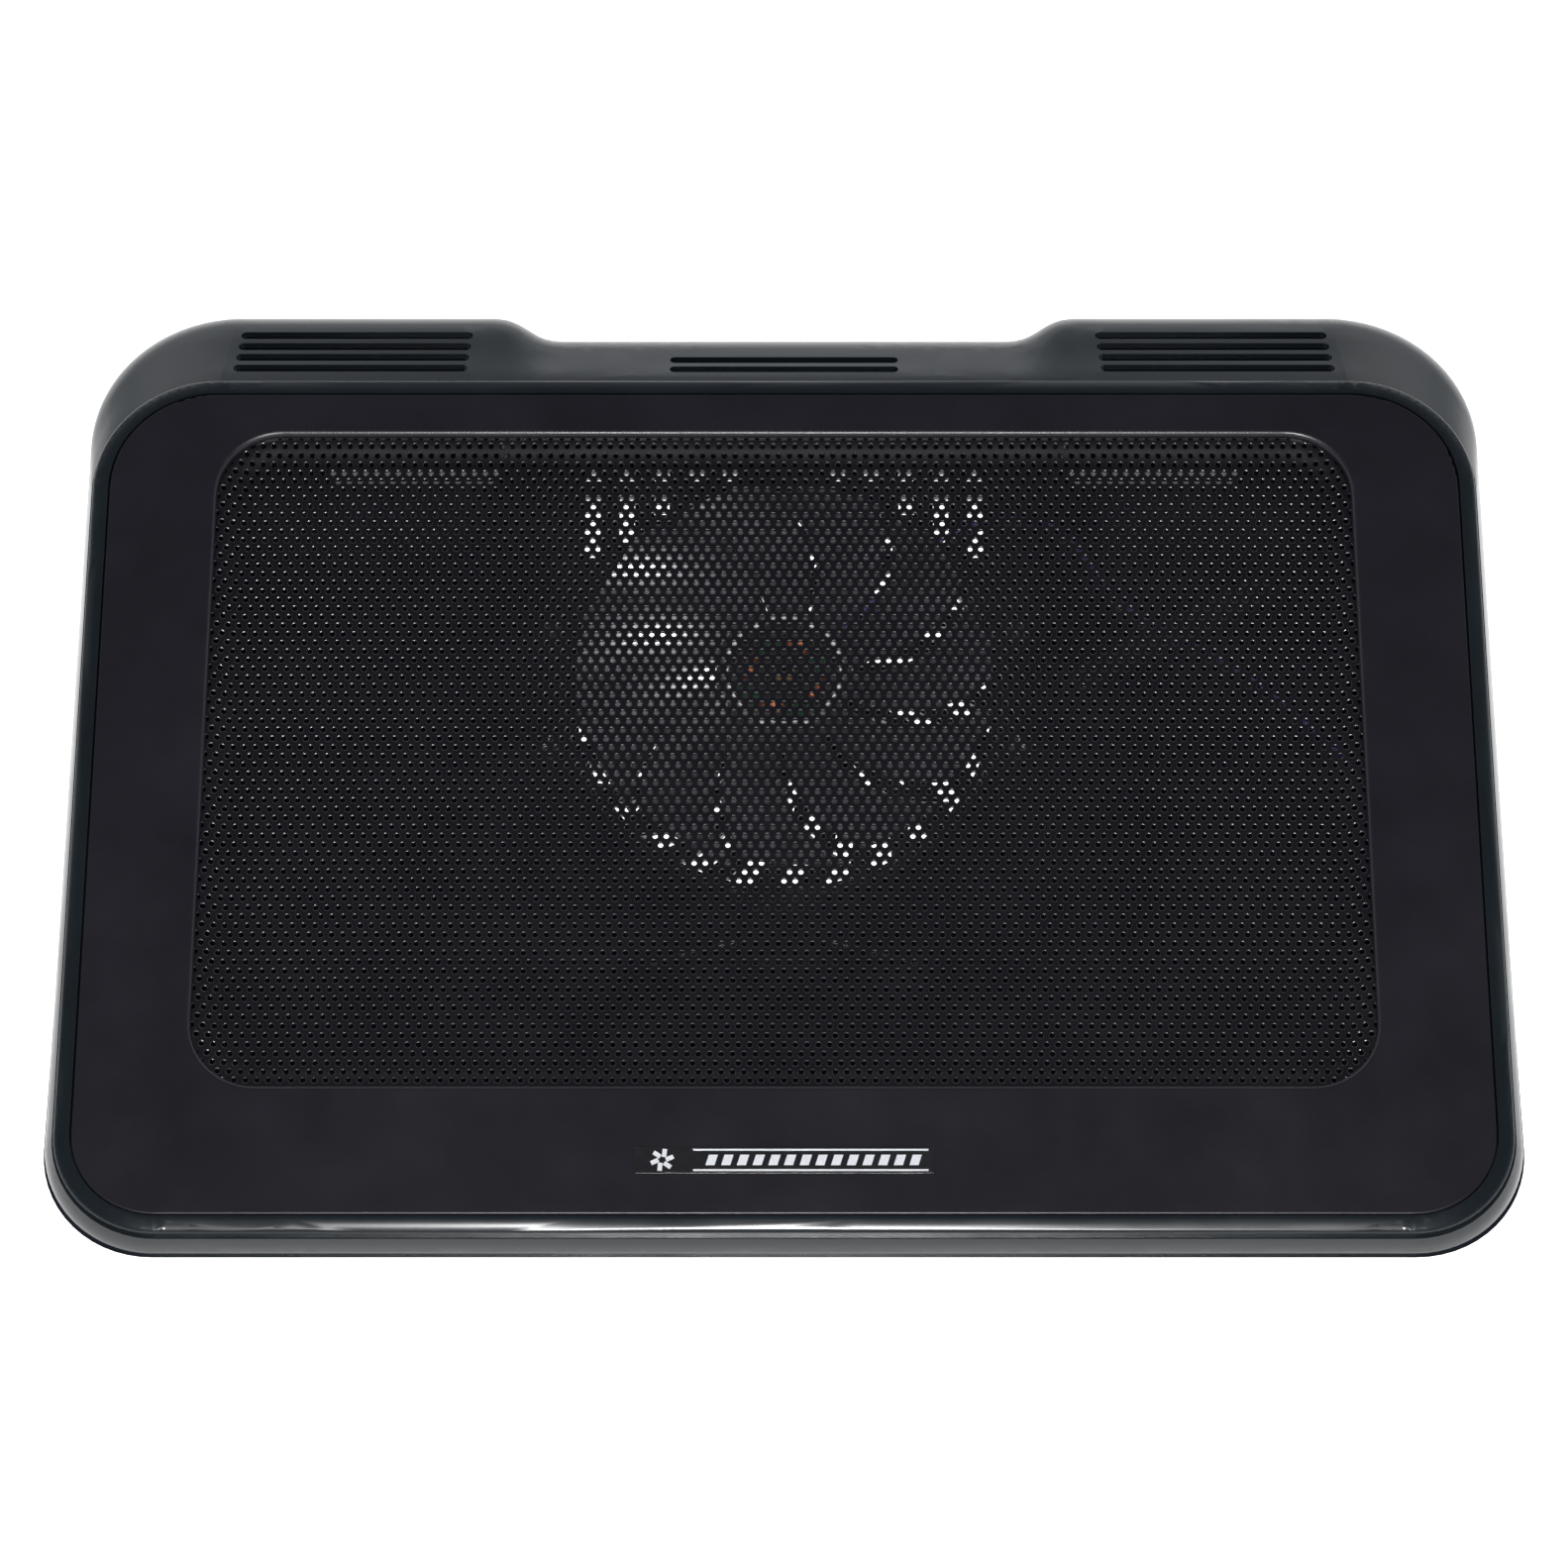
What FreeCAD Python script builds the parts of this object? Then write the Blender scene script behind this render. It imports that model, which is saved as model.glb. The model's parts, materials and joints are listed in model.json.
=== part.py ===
"""Laptop cooling pad: a wedge-shaped plastic case with a mesh top and one fan.

Millimetres. +X right, +Y towards the raised back, +Z up. The origin is on the table,
under the middle of the whole object. Flat pieces of the sloping top are drawn in the
panel frame (x, y back along the slope, z out of the top face) and then put in place.
"""
import FreeCAD, Part
import math
import os
from FreeCAD import Placement, Rotation, Vector

os.makedirs("parts", exist_ok=True)

# ---------------------------------------------------------------- driving dimensions
HEIGHT = 51.0              # top of the rear rim above the table
PANEL_TILT = 7.4           # slope of the top face, degrees
PANEL_LENGTH = 232.6       # along the slope
PANEL_HALF_WIDTH = 177.6
PANEL_REAR_Y = 100.15      # rear edge of the top face
RIM_RADIUS_REAR = 31.0
RIM_RADIUS_FRONT = 25.5
WALL = 2.2
FOOT_HEIGHT = 2.0

BEAD_WIDTH = 4.1           # raised rim round the bezel
BEAD_DEPTH = 5.2
BEAD_CROWN = 1.1           # fall of the crowned bead to its outer edge
BEAD_CROWN_WIDTH = 4.6
LEDGE_INSET = 9.0          # inner edge of the ledge that carries the bezel
BEZEL_THICK = 2.2
BEZEL_GAP = 0.25
BEZEL_EDGE = 0.6           # rounding of the outer edge
WINDOW_EDGE = 1.5          # rounding of the edge round the mesh
MESH_HALF_WIDTH = 145.5    # visible opening
MESH_REAR = 16.4           # slope distance from the rear rim
MESH_FRONT = 194.8
MESH_CORNER = 16.5
MESH_THICK = 0.8
MESH_FLANGE = 6.0

NAME_PLATE_HALF = 36.3
NAME_PLATE_THICK = 0.8
NAME_PLATE_FRONT = -217.8  # in the panel frame
NAME_PLATE_REAR = -211.0
NAME_PLATE_PROUD = 0.15    # stands this far out of the bezel
TRIM_THICK = 0.2
HOOK_PLACES = (-60.0, -116.0, -172.0)
HOOK_HALF = 5.0
HOOK_THICK = 1.4
HOOK_CATCH = 0.9
# Places where pins of the bezel hold the mesh, in the panel frame.
STAKE_MARGIN = 3.0
STAKE_X = MESH_HALF_WIDTH + STAKE_MARGIN
STAKES = [(side * STAKE_X, -s) for s in (40.0, 107.0, 174.0) for side in (-1, 1)]
for _x in (-90.0, 0.0, 90.0):
    STAKES += [(_x, STAKE_MARGIN - MESH_REAR), (_x, -MESH_FRONT - STAKE_MARGIN)]

BAND_SLOPE = 14.0          # rear band, degrees below level
BAND_REACH = 31.5          # furthest point of the legs behind the rim
BAND_ROLL = 12.0           # radius from the band down to the rear wall
BAND_DROP = 3.0            # step from the rim down to the band
NOTCH_DEPTH = 7.2          # the middle of the back is set in by this much
NOTCH_INNER_X = 58.0
NOTCH_OUTER_X = 77.0

SPLIT_FRONT_Z = 11.0        # plane where the top cover meets the bottom shell
SPLIT_REAR_Z = 29.0
SHELL_LIP = 0.6            # the bottom shell stands out this far at the split

SLOT_WIDTH = 2.7
SLOT_ROWS = (6.9, 11.2, 15.4, 19.7)   # distance of each row behind the rim
SLOT_INNER_X = 82.6        # inner end of the first row, left and right
SLOT_OUTER_X = 143.6
SLOT_INNER_STEP = 0.3      # how far each further row starts and ends towards the middle
SLOT_OUTER_STEP = 0.4
SLOT_MIDDLE_LENGTH = 59.6  # the middle slots, in the first rows only
SLOT_MIDDLE_ROWS = 2

CEILING_DEPTH = 25.5       # roof of the air tunnel, below the top face
FAN_S = 78.7               # fan centre, slope distance from the rear rim
FAN_LIFT = 3.2             # underside of the fan's struts above the tunnel roof
GRILLE_RADIUS = 53.5
GRILLE_HUB_R = 23.5
GRILLE_SLOTS = 27
GRILLE_PHASE = 4.0         # angle of the first slot at its outer end
GRILLE_SWIRL = 0.65        # degrees that a slot turns per mm towards the middle
GRILLE_OPEN = 0.5          # share of the pitch that is open
DUCT_FLANGE = 3.5          # flange of the air duct on the floor of the shell
DUCT_GAP = 0.15
DUCT_FILLET = 2.0

FRAME_INNER_R = 56.0
FRAME_OUTER_R = 58.2
LUG_R = 62.0
LUG_ANGLES = (15, 165, 195, 345)
BLADE_COUNT = 11
BLADE_TIP_R = 53.2
HUB_R = 17.6
SHAFT_R = 1.5
BUSH_CLEARANCE = 0.04
POLES = 4
POLE_TURN = 69.0           # angle of the first pole

BOARD_Y = -9.0             # middle of the port board along the right wall
BOARD_TOP = 7.4
PORT_MOUTH_X = 180.0
BOARD_LEFT = 161.0
BOARD_RIGHT = 176.0
WALL_OUTER_X = PANEL_HALF_WIDTH + 3.6   # right wall at the height of the ports
BOARD_SCREWS = [(166.0, BOARD_Y - 19.5), (166.0, BOARD_Y + 19.5)]
USB_Y = BOARD_Y - 9.0
INLET_Y = BOARD_Y + 2.5
SWITCH_Y = BOARD_Y + 12.0
SWITCH_TRAVEL = 2.4
SWITCH_ROOM_LOW = 0.8      # inside of the switch above the board
SWITCH_ROOM_HIGH = 3.4
USB_HALF_WIDTH = 6.55
USB_HEIGHT = 5.7
USB_DEPTH = 14.0
INLET_HALF_WIDTH = 3.85
INLET_HEIGHT = 4.0
INLET_DEPTH = 9.2

SCREW_SHANK_R = 1.4
SCREW_HEAD_R = 2.9
PILOT_R = 1.45
CLEAR_R = 1.7
SHELL_SEAT_DROP = 3.0      # a case screw's seat below the split

UP = Vector(0, 0, 1)
PANEL = Placement(Vector(0, PANEL_REAR_Y, HEIGHT), Rotation(Vector(1, 0, 0), PANEL_TILT))
ROOF = PANEL.multiply(Placement(Vector(0, -FAN_S, -CEILING_DEPTH), Rotation()))
FAN = ROOF.multiply(Placement(Vector(0, 0, FAN_LIFT), Rotation()))
SIN = math.sin(math.radians(PANEL_TILT))
COS = math.cos(math.radians(PANEL_TILT))


# ---------------------------------------------------------------- small helpers
def placed(shape, placement):
    """A copy of shape moved by placement."""
    moved = shape.copy()
    moved.Placement = placement.multiply(shape.Placement)
    return moved


def box(x0, x1, y0, y1, z0, z1):
    return Part.makeBox(x1 - x0, y1 - y0, z1 - z0, Vector(x0, y0, z0))


def rod(x, y, z0, z1, radius):
    return Part.makeCylinder(radius, z1 - z0, Vector(x, y, z0), UP)


def ring(z0, z1, outer, inner, x=0.0, y=0.0):
    return rod(x, y, z0, z1, outer).cut(rod(x, y, z0 - 1, z1 + 1, inner))


def spun(shape, degrees):
    turned = shape.copy()
    turned.rotate(Vector(), UP, degrees)
    return turned


def mirrored(shape):
    return shape.mirror(Vector(), Vector(1, 0, 0))


def fuse(shapes):
    return shapes[0].multiFuse(shapes[1:]).removeSplitter()


def arc(centre, radius, start, end):
    circle = Part.Circle(centre, UP, radius)
    return Part.ArcOfCircle(circle, math.radians(start), math.radians(end)).toShape()


def line(start, end):
    return Part.LineSegment(start, end).toShape()


def rounded_plate(half_width, front, back, radius_front, radius_back, z0, z1):
    """Flat plate with rounded corners, from z0 up to z1."""
    xf = half_width - radius_front
    xb = half_width - radius_back
    y_low = front + radius_front
    y_high = back - radius_back
    edges = [
        line(Vector(-xf, front, z0), Vector(xf, front, z0)),
        arc(Vector(xf, y_low, z0), radius_front, -90, 0),
        line(Vector(half_width, y_low, z0), Vector(half_width, y_high, z0)),
        arc(Vector(xb, y_high, z0), radius_back, 0, 90),
        line(Vector(xb, back, z0), Vector(-xb, back, z0)),
        arc(Vector(-xb, y_high, z0), radius_back, 90, 180),
        line(Vector(-half_width, y_high, z0), Vector(-half_width, y_low, z0)),
        arc(Vector(-xf, y_low, z0), radius_front, 180, 270),
    ]
    return Part.Face(Part.Wire(edges)).extrude(Vector(0, 0, z1 - z0))


def panel_plate(inset, top, bottom):
    """Plate with the outline of the top face, set in by inset, in the panel frame."""
    return rounded_plate(
        PANEL_HALF_WIDTH - inset,
        -PANEL_LENGTH + inset,
        -inset,
        RIM_RADIUS_FRONT - inset,
        RIM_RADIUS_REAR - inset,
        bottom,
        top,
    )


def fillet_where(shape, radius, chosen):
    edges = [edge for edge in shape.Edges if chosen(edge)]
    return shape.makeFillet(radius, edges)


def at_height(piece, z):
    """True for an edge or face that lies flat at z."""
    return abs(piece.BoundBox.ZMin - z) < 1e-4 and abs(piece.BoundBox.ZMax - z) < 1e-4


def stadium(x, y, length, width, z0, z1):
    """Slot cutter along X with round ends."""
    reach = length / 2 - width / 2
    body = box(x - reach, x + reach, y - width / 2, y + width / 2, z0, z1)
    ends = [rod(x + side * reach, y, z0, z1, width / 2) for side in (-1, 1)]
    return fuse([body] + ends)


# ---------------------------------------------------------------- case outline
class Level:
    """One closed outline of the case, flat but tilted from its front edge to its back."""

    def __init__(self, front, back, half_width, radius_front, radius_back, notch):
        self.front = front            # (y, z) of the front edge
        self.back = back              # (y, z) of the back edge
        self.half_width = half_width
        self.radius_front = radius_front
        self.radius_back = radius_back
        self.notch = notch

    def inset(self, wall, back_angle, front_angle=90.0):
        """The inner outline, one wall thickness in along the surface normals."""
        a = math.radians(back_angle)
        b = math.radians(front_angle)
        return Level(
            (self.front[0] + wall * math.sin(b), self.front[1] + wall * math.cos(b)),
            (self.back[0] - wall * math.sin(a), self.back[1] - wall * math.cos(a)),
            self.half_width - wall,
            self.radius_front - wall,
            self.radius_back - wall,
            self.notch,
        )

    def lifted(self, rise):
        return Level(
            (self.front[0], self.front[1] + rise),
            (self.back[0], self.back[1] + rise),
            self.half_width,
            self.radius_front,
            self.radius_back,
            self.notch,
        )

    def wire(self):
        run = self.back[0] - self.front[0]
        rise = self.back[1] - self.front[1]
        length = math.hypot(run, rise)
        w = self.half_width
        rf = self.radius_front
        rb = self.radius_back
        waist = length - self.notch
        middle = (NOTCH_INNER_X + NOTCH_OUTER_X) / 2
        curve = [(NOTCH_OUTER_X, length), (middle, length), (middle, waist), (NOTCH_INNER_X, waist)]
        right = Part.BezierCurve()
        right.setPoles([Vector(x, y, 0) for x, y in curve])
        left = Part.BezierCurve()
        left.setPoles([Vector(-x, y, 0) for x, y in reversed(curve)])
        edges = [
            line(Vector(rf - w, 0, 0), Vector(w - rf, 0, 0)),
            arc(Vector(w - rf, rf, 0), rf, -90, 0),
            line(Vector(w, rf, 0), Vector(w, length - rb, 0)),
            arc(Vector(w - rb, length - rb, 0), rb, 0, 90),
            line(Vector(w - rb, length, 0), Vector(NOTCH_OUTER_X, length, 0)),
            right.toShape(),
            line(Vector(NOTCH_INNER_X, waist, 0), Vector(-NOTCH_INNER_X, waist, 0)),
            left.toShape(),
            line(Vector(-NOTCH_OUTER_X, length, 0), Vector(rb - w, length, 0)),
            arc(Vector(rb - w, length - rb, 0), rb, 90, 180),
            line(Vector(-w, length - rb, 0), Vector(-w, rf, 0)),
            arc(Vector(rf - w, rf, 0), rf, 180, 270),
        ]
        outline = Part.Wire(edges)
        tilt = math.degrees(math.atan2(rise, run))
        seat = Placement(Vector(0, self.front[0], self.front[1]), Rotation(Vector(1, 0, 0), tilt))
        outline.Placement = seat
        return outline


def loft(levels):
    return Part.makeLoft([level.wire() for level in levels], True, False)


def cover_levels():
    """Outer outlines of the top cover from under the rim down to the split, with the
    angle of the surface normal at the back of each."""
    slope = math.radians(BAND_SLOPE)
    roll_y = BAND_REACH - BAND_ROLL
    straight_end = roll_y + BAND_ROLL * math.sin(slope)
    band_top = HEIGHT - BAND_DROP
    roll_z = band_top - straight_end * math.tan(slope) - BAND_ROLL * math.cos(slope)
    back = []
    for distance in (1.2, 8.0, 16.0, straight_end):
        back.append((distance, band_top - distance * math.tan(slope), BAND_SLOPE))
    for angle in (50.0, 90.0):
        a = math.radians(angle)
        back.append((roll_y + BAND_ROLL * math.sin(a), roll_z + BAND_ROLL * math.cos(a), angle))
    back.append((BAND_REACH, SPLIT_REAR_Z, 90.0))
    rim_z = HEIGHT - PANEL_LENGTH * SIN - BAND_DROP * COS
    fall = (rim_z - SPLIT_FRONT_Z) / 6
    front_bulge = (0.5, 0.9, 1.2, 1.4, 1.5, 1.5, 1.4)
    side_bulge = (0.6, 1.4, 2.1, 2.6, 2.9, 3.0, 3.0)
    notch_share = (0.0, 0.17, 0.55, 0.83, 0.97, 1.0, 1.0)
    rear_radius = (31.6, 33.0, 34.6, 36.0, 37.2, 38.0, 38.0)
    rim_front_y = PANEL_REAR_Y - PANEL_LENGTH * COS
    levels = []
    for k in range(7):
        levels.append(Level(
            (rim_front_y - front_bulge[k], rim_z - fall * k),
            (PANEL_REAR_Y + back[k][0], back[k][1]),
            PANEL_HALF_WIDTH + side_bulge[k],
            RIM_RADIUS_FRONT + 0.4 + side_bulge[k] * 0.6,
            rear_radius[k],
            NOTCH_DEPTH * notch_share[k],
        ))
    return levels, [entry[2] for entry in back]


def shell_levels():
    """Outer outlines of the bottom shell from the split down to the flat underside."""
    split = cover_levels()[0][-1]
    front_y, front_z = split.front
    back_y, back_z = split.back
    w = split.half_width
    return [
        Level((front_y - SHELL_LIP, front_z - 0.1), (back_y + SHELL_LIP, back_z - 0.1),
              w + SHELL_LIP, 28.0, 38.6, NOTCH_DEPTH),
        Level((front_y + 1.9, front_z - 4.0), (back_y + SHELL_LIP, 15.0),
              w + SHELL_LIP - 0.4, 27.5, 38.4, NOTCH_DEPTH),
        Level((front_y + 6.4, FOOT_HEIGHT + 1.5), (back_y - 0.2, 5.8),
              w - 1.6, 25.0, 37.4, NOTCH_DEPTH),
        Level((front_y + 13.0, FOOT_HEIGHT), (back_y - 3.6, FOOT_HEIGHT),
              w - 6.0, 20.0, 33.6, NOTCH_DEPTH),
    ]


COVER_LEVELS, COVER_ANGLES = cover_levels()
SHELL_LEVELS = shell_levels()
COVER_OUTER = loft(COVER_LEVELS)
SHELL_OUTER = loft(SHELL_LEVELS)
# The middle of each wall: posts and bosses are trimmed here, so they end inside the plastic.
HALF_WALL = WALL / 2
COVER_MIDDLE = loft([level.inset(HALF_WALL, angle) for level, angle in zip(COVER_LEVELS, COVER_ANGLES)])
SHELL_MIDDLE = loft([level.inset(HALF_WALL, 90) for level in SHELL_LEVELS[:3]]
                    + [SHELL_LEVELS[3].inset(HALF_WALL, 90).lifted(HALF_WALL)])


def split_z(y):
    """Height of the split plane at y."""
    y0, z0 = COVER_LEVELS[-1].front
    y1, z1 = COVER_LEVELS[-1].back
    return z0 + (y - y0) * (z1 - z0) / (y1 - y0)


# Screw places: x, then y as a distance in front of the rear rim.
RIGHT_SCREWS = (
    (165.5, 45.0), (165.5, 150.0), (118.0, 222.0), (40.0, 222.0), (152.0, -10.0), (72.0, -8.0),
)
SHELL_SCREWS = [(side * x, PANEL_REAR_Y - s) for x, s in RIGHT_SCREWS for side in (-1, 1)]


# ---------------------------------------------------------------- case pieces
def rim_bead():
    """Plate with the outline of the top face, crowned like a flat ellipse round its edge."""
    base = panel_plate(0.0, -BEAD_CROWN, -BEAD_DEPTH)
    rings = []
    for angle in (0.0, 20.0, 40.0, 60.0, 90.0):
        a = math.radians(angle)
        inset = BEAD_CROWN_WIDTH * (1 - math.cos(a))
        height = -BEAD_CROWN * (1 - math.sin(a))
        plate = panel_plate(inset, height + 1.0, height)
        outline = next(face for face in plate.Faces if at_height(face, height))
        rings.append(outline.OuterWire)
    crown = Part.makeLoft(rings, True, False)
    return base.fuse(crown)


def make_top_cover():
    inner_levels = [level.inset(WALL, angle) for level, angle in zip(COVER_LEVELS, COVER_ANGLES)]
    inner_levels[-1] = inner_levels[-1].lifted(-1.0)
    skin = COVER_OUTER.cut(loft(inner_levels))

    bead = placed(rim_bead(), PANEL)

    recess = panel_plate(BEAD_WIDTH, 1.0, -BEZEL_THICK - 0.1)
    opening = panel_plate(LEDGE_INSET, 1.0, -BEAD_DEPTH - 3.0)
    hollow = placed(recess.fuse(opening), PANEL)

    posts = [rod(x, y, split_z(y) + 0.1, HEIGHT, 3.6) for x, y in SHELL_SCREWS]
    posts = fuse(posts).common(COVER_MIDDLE)
    pilots = [rod(x, y, split_z(y) - 1, split_z(y) + 9, PILOT_R) for x, y in SHELL_SCREWS]

    slots = []
    for row, distance in enumerate(SLOT_ROWS):
        y = PANEL_REAR_Y + distance
        inner = SLOT_INNER_X - SLOT_INNER_STEP * row
        outer = SLOT_OUTER_X - SLOT_OUTER_STEP * row
        slot = stadium((inner + outer) / 2, y, outer - inner, SLOT_WIDTH, HEIGHT - 16, HEIGHT + 2)
        slots += [slot, mirrored(slot)]
        if row < SLOT_MIDDLE_ROWS:
            slots.append(stadium(0, y, SLOT_MIDDLE_LENGTH, SLOT_WIDTH, HEIGHT - 16, HEIGHT + 2))

    cover = skin.multiFuse([bead, posts])
    cover = cover.cut(Part.makeCompound([hollow] + slots + pilots))
    return cover


def bezel_hooks():
    """Snap hooks that pass down inside the ledge and catch under it."""
    hooks = []
    under = -BEAD_DEPTH - 0.1
    edge_x = PANEL_HALF_WIDTH - LEDGE_INSET - 0.15
    for y in HOOK_PLACES:
        near = y - HOOK_HALF
        far = y + HOOK_HALF
        stem = box(edge_x - HOOK_THICK, edge_x, near, far, under - 1.2, -BEZEL_THICK + 0.2)
        barb = box(edge_x - 0.2, edge_x + HOOK_CATCH, near, far, under - 1.2, under)
        hook = stem.fuse(barb)
        hooks += [hook, mirrored(hook)]
    return hooks


def round_window(edge):
    """True for an upper edge of the bezel's window."""
    middle = edge.CenterOfGravity
    within = abs(middle.x) < MESH_HALF_WIDTH + 1 and -MESH_FRONT - 1 < middle.y < 1 - MESH_REAR
    return within and at_height(edge, 0.0)


def make_top_bezel():
    inset = BEAD_WIDTH + BEZEL_GAP
    plate = panel_plate(inset, 0.0, -BEZEL_THICK)
    window = rounded_plate(MESH_HALF_WIDTH, -MESH_FRONT, -MESH_REAR,
                           MESH_CORNER, MESH_CORNER, -BEZEL_THICK - 1, 1)
    plate = fillet_where(plate, BEZEL_EDGE, lambda edge: at_height(edge, 0.0)).cut(window)
    plate = fillet_where(plate, WINDOW_EDGE, round_window)
    gap = 0.1
    seat = box(-NAME_PLATE_HALF - gap, NAME_PLATE_HALF + gap,
               NAME_PLATE_FRONT - gap, NAME_PLATE_REAR + gap, -NAME_PLATE_THICK, 1)
    pins = [rod(x, y, -BEZEL_THICK - MESH_THICK - 0.9, -BEZEL_THICK + 0.2, 1.2) for x, y in STAKES]
    bezel = plate.cut(seat).multiFuse(pins + bezel_hooks())
    return placed(bezel, PANEL)


def make_mesh_panel():
    """The perforated sheet as one plain sheet; its flange lies under the bezel."""
    top = -BEZEL_THICK
    reach = MESH_FLANGE
    sheet = rounded_plate(MESH_HALF_WIDTH + reach, -MESH_FRONT - reach, -MESH_REAR + reach,
                          MESH_CORNER, MESH_CORNER, top - MESH_THICK, top)
    holes = [rod(x, y, top - 2, top + 1, 1.35) for x, y in STAKES]
    return placed(sheet.cut(Part.makeCompound(holes)), PANEL)


def make_name_plate():
    plate = box(-NAME_PLATE_HALF, NAME_PLATE_HALF, NAME_PLATE_FRONT, NAME_PLATE_REAR,
                -NAME_PLATE_THICK, NAME_PLATE_PROUD)
    plate = fillet_where(plate, 0.12, lambda edge: at_height(edge, NAME_PLATE_PROUD))
    return placed(plate, PANEL)


def make_name_plate_trim():
    """Two bright rules, a six-sided fan emblem and a row of slanted bars."""
    low = NAME_PLATE_PROUD
    high = NAME_PLATE_PROUD + TRIM_THICK
    rules = (NAME_PLATE_REAR - 0.8, NAME_PLATE_FRONT + 0.8)
    pieces = [box(-22.0, 35.0, y - 0.2, y + 0.2, low, high) for y in rules]
    emblem_x = -29.5
    middle_y = (NAME_PLATE_FRONT + NAME_PLATE_REAR) / 2
    for turn in range(6):
        petal = box(0.9, 2.9, -0.55, 0.55, low, high)
        petal.rotate(Vector(0.9, 0, 0), UP, 25)
        petal = spun(petal, 60 * turn)
        petal.translate(Vector(emblem_x, middle_y, 0))
        pieces.append(petal)
    for index in range(14):
        x = -19.0 + index * 3.8
        corners = [(x, -1.3), (x + 2.2, -1.3), (x + 3.0, 1.3), (x + 0.8, 1.3)]
        loop = [Vector(cx, middle_y + cy, low) for cx, cy in corners]
        face = Part.Face(Part.makePolygon(loop + loop[:1]))
        pieces.append(face.extrude(Vector(0, 0, high - low)))
    return placed(Part.makeCompound(pieces), PANEL)


# Plan of the air tunnel: x, then slope distance from the rear rim.
TUNNEL_PLAN = [(64.0, 20.0), (69.0, 80.0), (82.0, 140.0), (84.0, 157.0), (76.0, 162.5),
               (59.9, 160.0), (32.6, 151.4), (12.0, 146.0)]
TUNNEL_REAR_X = 62.0
MOUTH_HALF_WIDTH = 56.0
MOUTH_TOP = 23.5


def tunnel_plan(grow):
    """Flat face of the tunnel's plan, grown outwards by grow."""
    rear_y = COVER_LEVELS[-1].back[0] - NOTCH_DEPTH + SHELL_LIP - WALL - 0.4 + 0.6 * grow
    points = [Vector(TUNNEL_REAR_X, rear_y, 0)]
    for x, s in TUNNEL_PLAN:
        points.append(Vector(x, PANEL_REAR_Y - s * COS + CEILING_DEPTH * SIN, 0))
    points += [Vector(-p.x, p.y, 0) for p in reversed(points)]
    spline = Part.BSplineCurve()
    spline.interpolate(points)
    if grow:
        moved = []
        for point in points:
            tangent = spline.tangent(spline.parameter(point))[0]
            moved.append(point + Vector(-tangent.y, tangent.x, 0) * grow)
        points = moved
        spline = Part.BSplineCurve()
        spline.interpolate(points)
    return Part.Face(Part.Wire([spline.toShape(), line(points[-1], points[0])]))


def under_ceiling(depth):
    """Everything at least this far below the top face."""
    return placed(box(-250, 250, -300, 100, -depth - 120, -depth), PANEL)


def swirl_edge(side, height):
    """One long edge of a grille slot, from the inner end to the outer end."""
    points = []
    steps = 5
    for step in range(steps):
        radius = GRILLE_HUB_R + (GRILLE_RADIUS - GRILLE_HUB_R) * step / (steps - 1)
        turn = GRILLE_SWIRL * (GRILLE_RADIUS - radius)
        turn += side * GRILLE_OPEN * 180.0 / GRILLE_SLOTS
        a = math.radians(turn)
        points.append(Vector(radius * math.cos(a), radius * math.sin(a), height))
    spline = Part.BSplineCurve()
    spline.interpolate(points)
    return spline.toShape(), points[0], points[-1]


def grille_cutters():
    """Swirled slots of the round grille in the roof of the air duct."""
    low = -6.0
    right, right_in, right_out = swirl_edge(-1, low)
    left, left_in, left_out = swirl_edge(1, low)
    inner_turn = math.radians(GRILLE_SWIRL * (GRILLE_RADIUS - GRILLE_HUB_R))
    inner_middle = Vector(GRILLE_HUB_R * math.cos(inner_turn), GRILLE_HUB_R * math.sin(inner_turn), low)
    edges = [
        right,
        Part.Arc(right_out, Vector(GRILLE_RADIUS, 0, low), left_out).toShape(),
        left,
        Part.Arc(left_in, inner_middle, right_in).toShape(),
    ]
    slot = Part.Face(Part.Wire(Part.__sortEdges__(edges))).extrude(Vector(0, 0, 8))
    pitch = 360.0 / GRILLE_SLOTS
    return [spun(slot, GRILLE_PHASE + turn * pitch) for turn in range(GRILLE_SLOTS)]


def ceiling_slots():
    """Slots behind the fan: short rear ones, and longer ones outside."""
    cutters = []
    for x, front in ((50.0, 39.0), (41.0, 34.5), (32.0, 26.5), (23.0, 0.0), (14.0, 0.0)):
        spans = [(13.6, 16.6)]
        if front:
            spans.append((21.0, front))
        for near, far in spans:
            for side in (-1, 1):
                cutters.append(box(side * x - 2, side * x + 2, -far, -near, -5, 3))
    to_roof = PANEL.multiply(Placement(Vector(0, 0, -CEILING_DEPTH), Rotation()))
    return [placed(cutter, to_roof) for cutter in cutters]


def finger_dish():
    """Shallow oval dish in the wall round the switch, so the slider does not stand out."""
    dish = rounded_plate(6.5, -4.0, 4.0, 3.9, 3.9, WALL_OUTER_X - 1.4, WALL_OUTER_X + 6)
    dish.rotate(Vector(), Vector(1, 1, 1), 120)
    dish.translate(Vector(0, SWITCH_Y, BOARD_TOP + 2.1))
    return dish


def rear_mouth():
    """Room for the tunnel's mouth in the rear walls of the duct and the shell."""
    return box(-MOUTH_HALF_WIDTH, MOUTH_HALF_WIDTH, PANEL_REAR_Y + 16, PANEL_REAR_Y + 40,
               -1, MOUTH_TOP)


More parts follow.
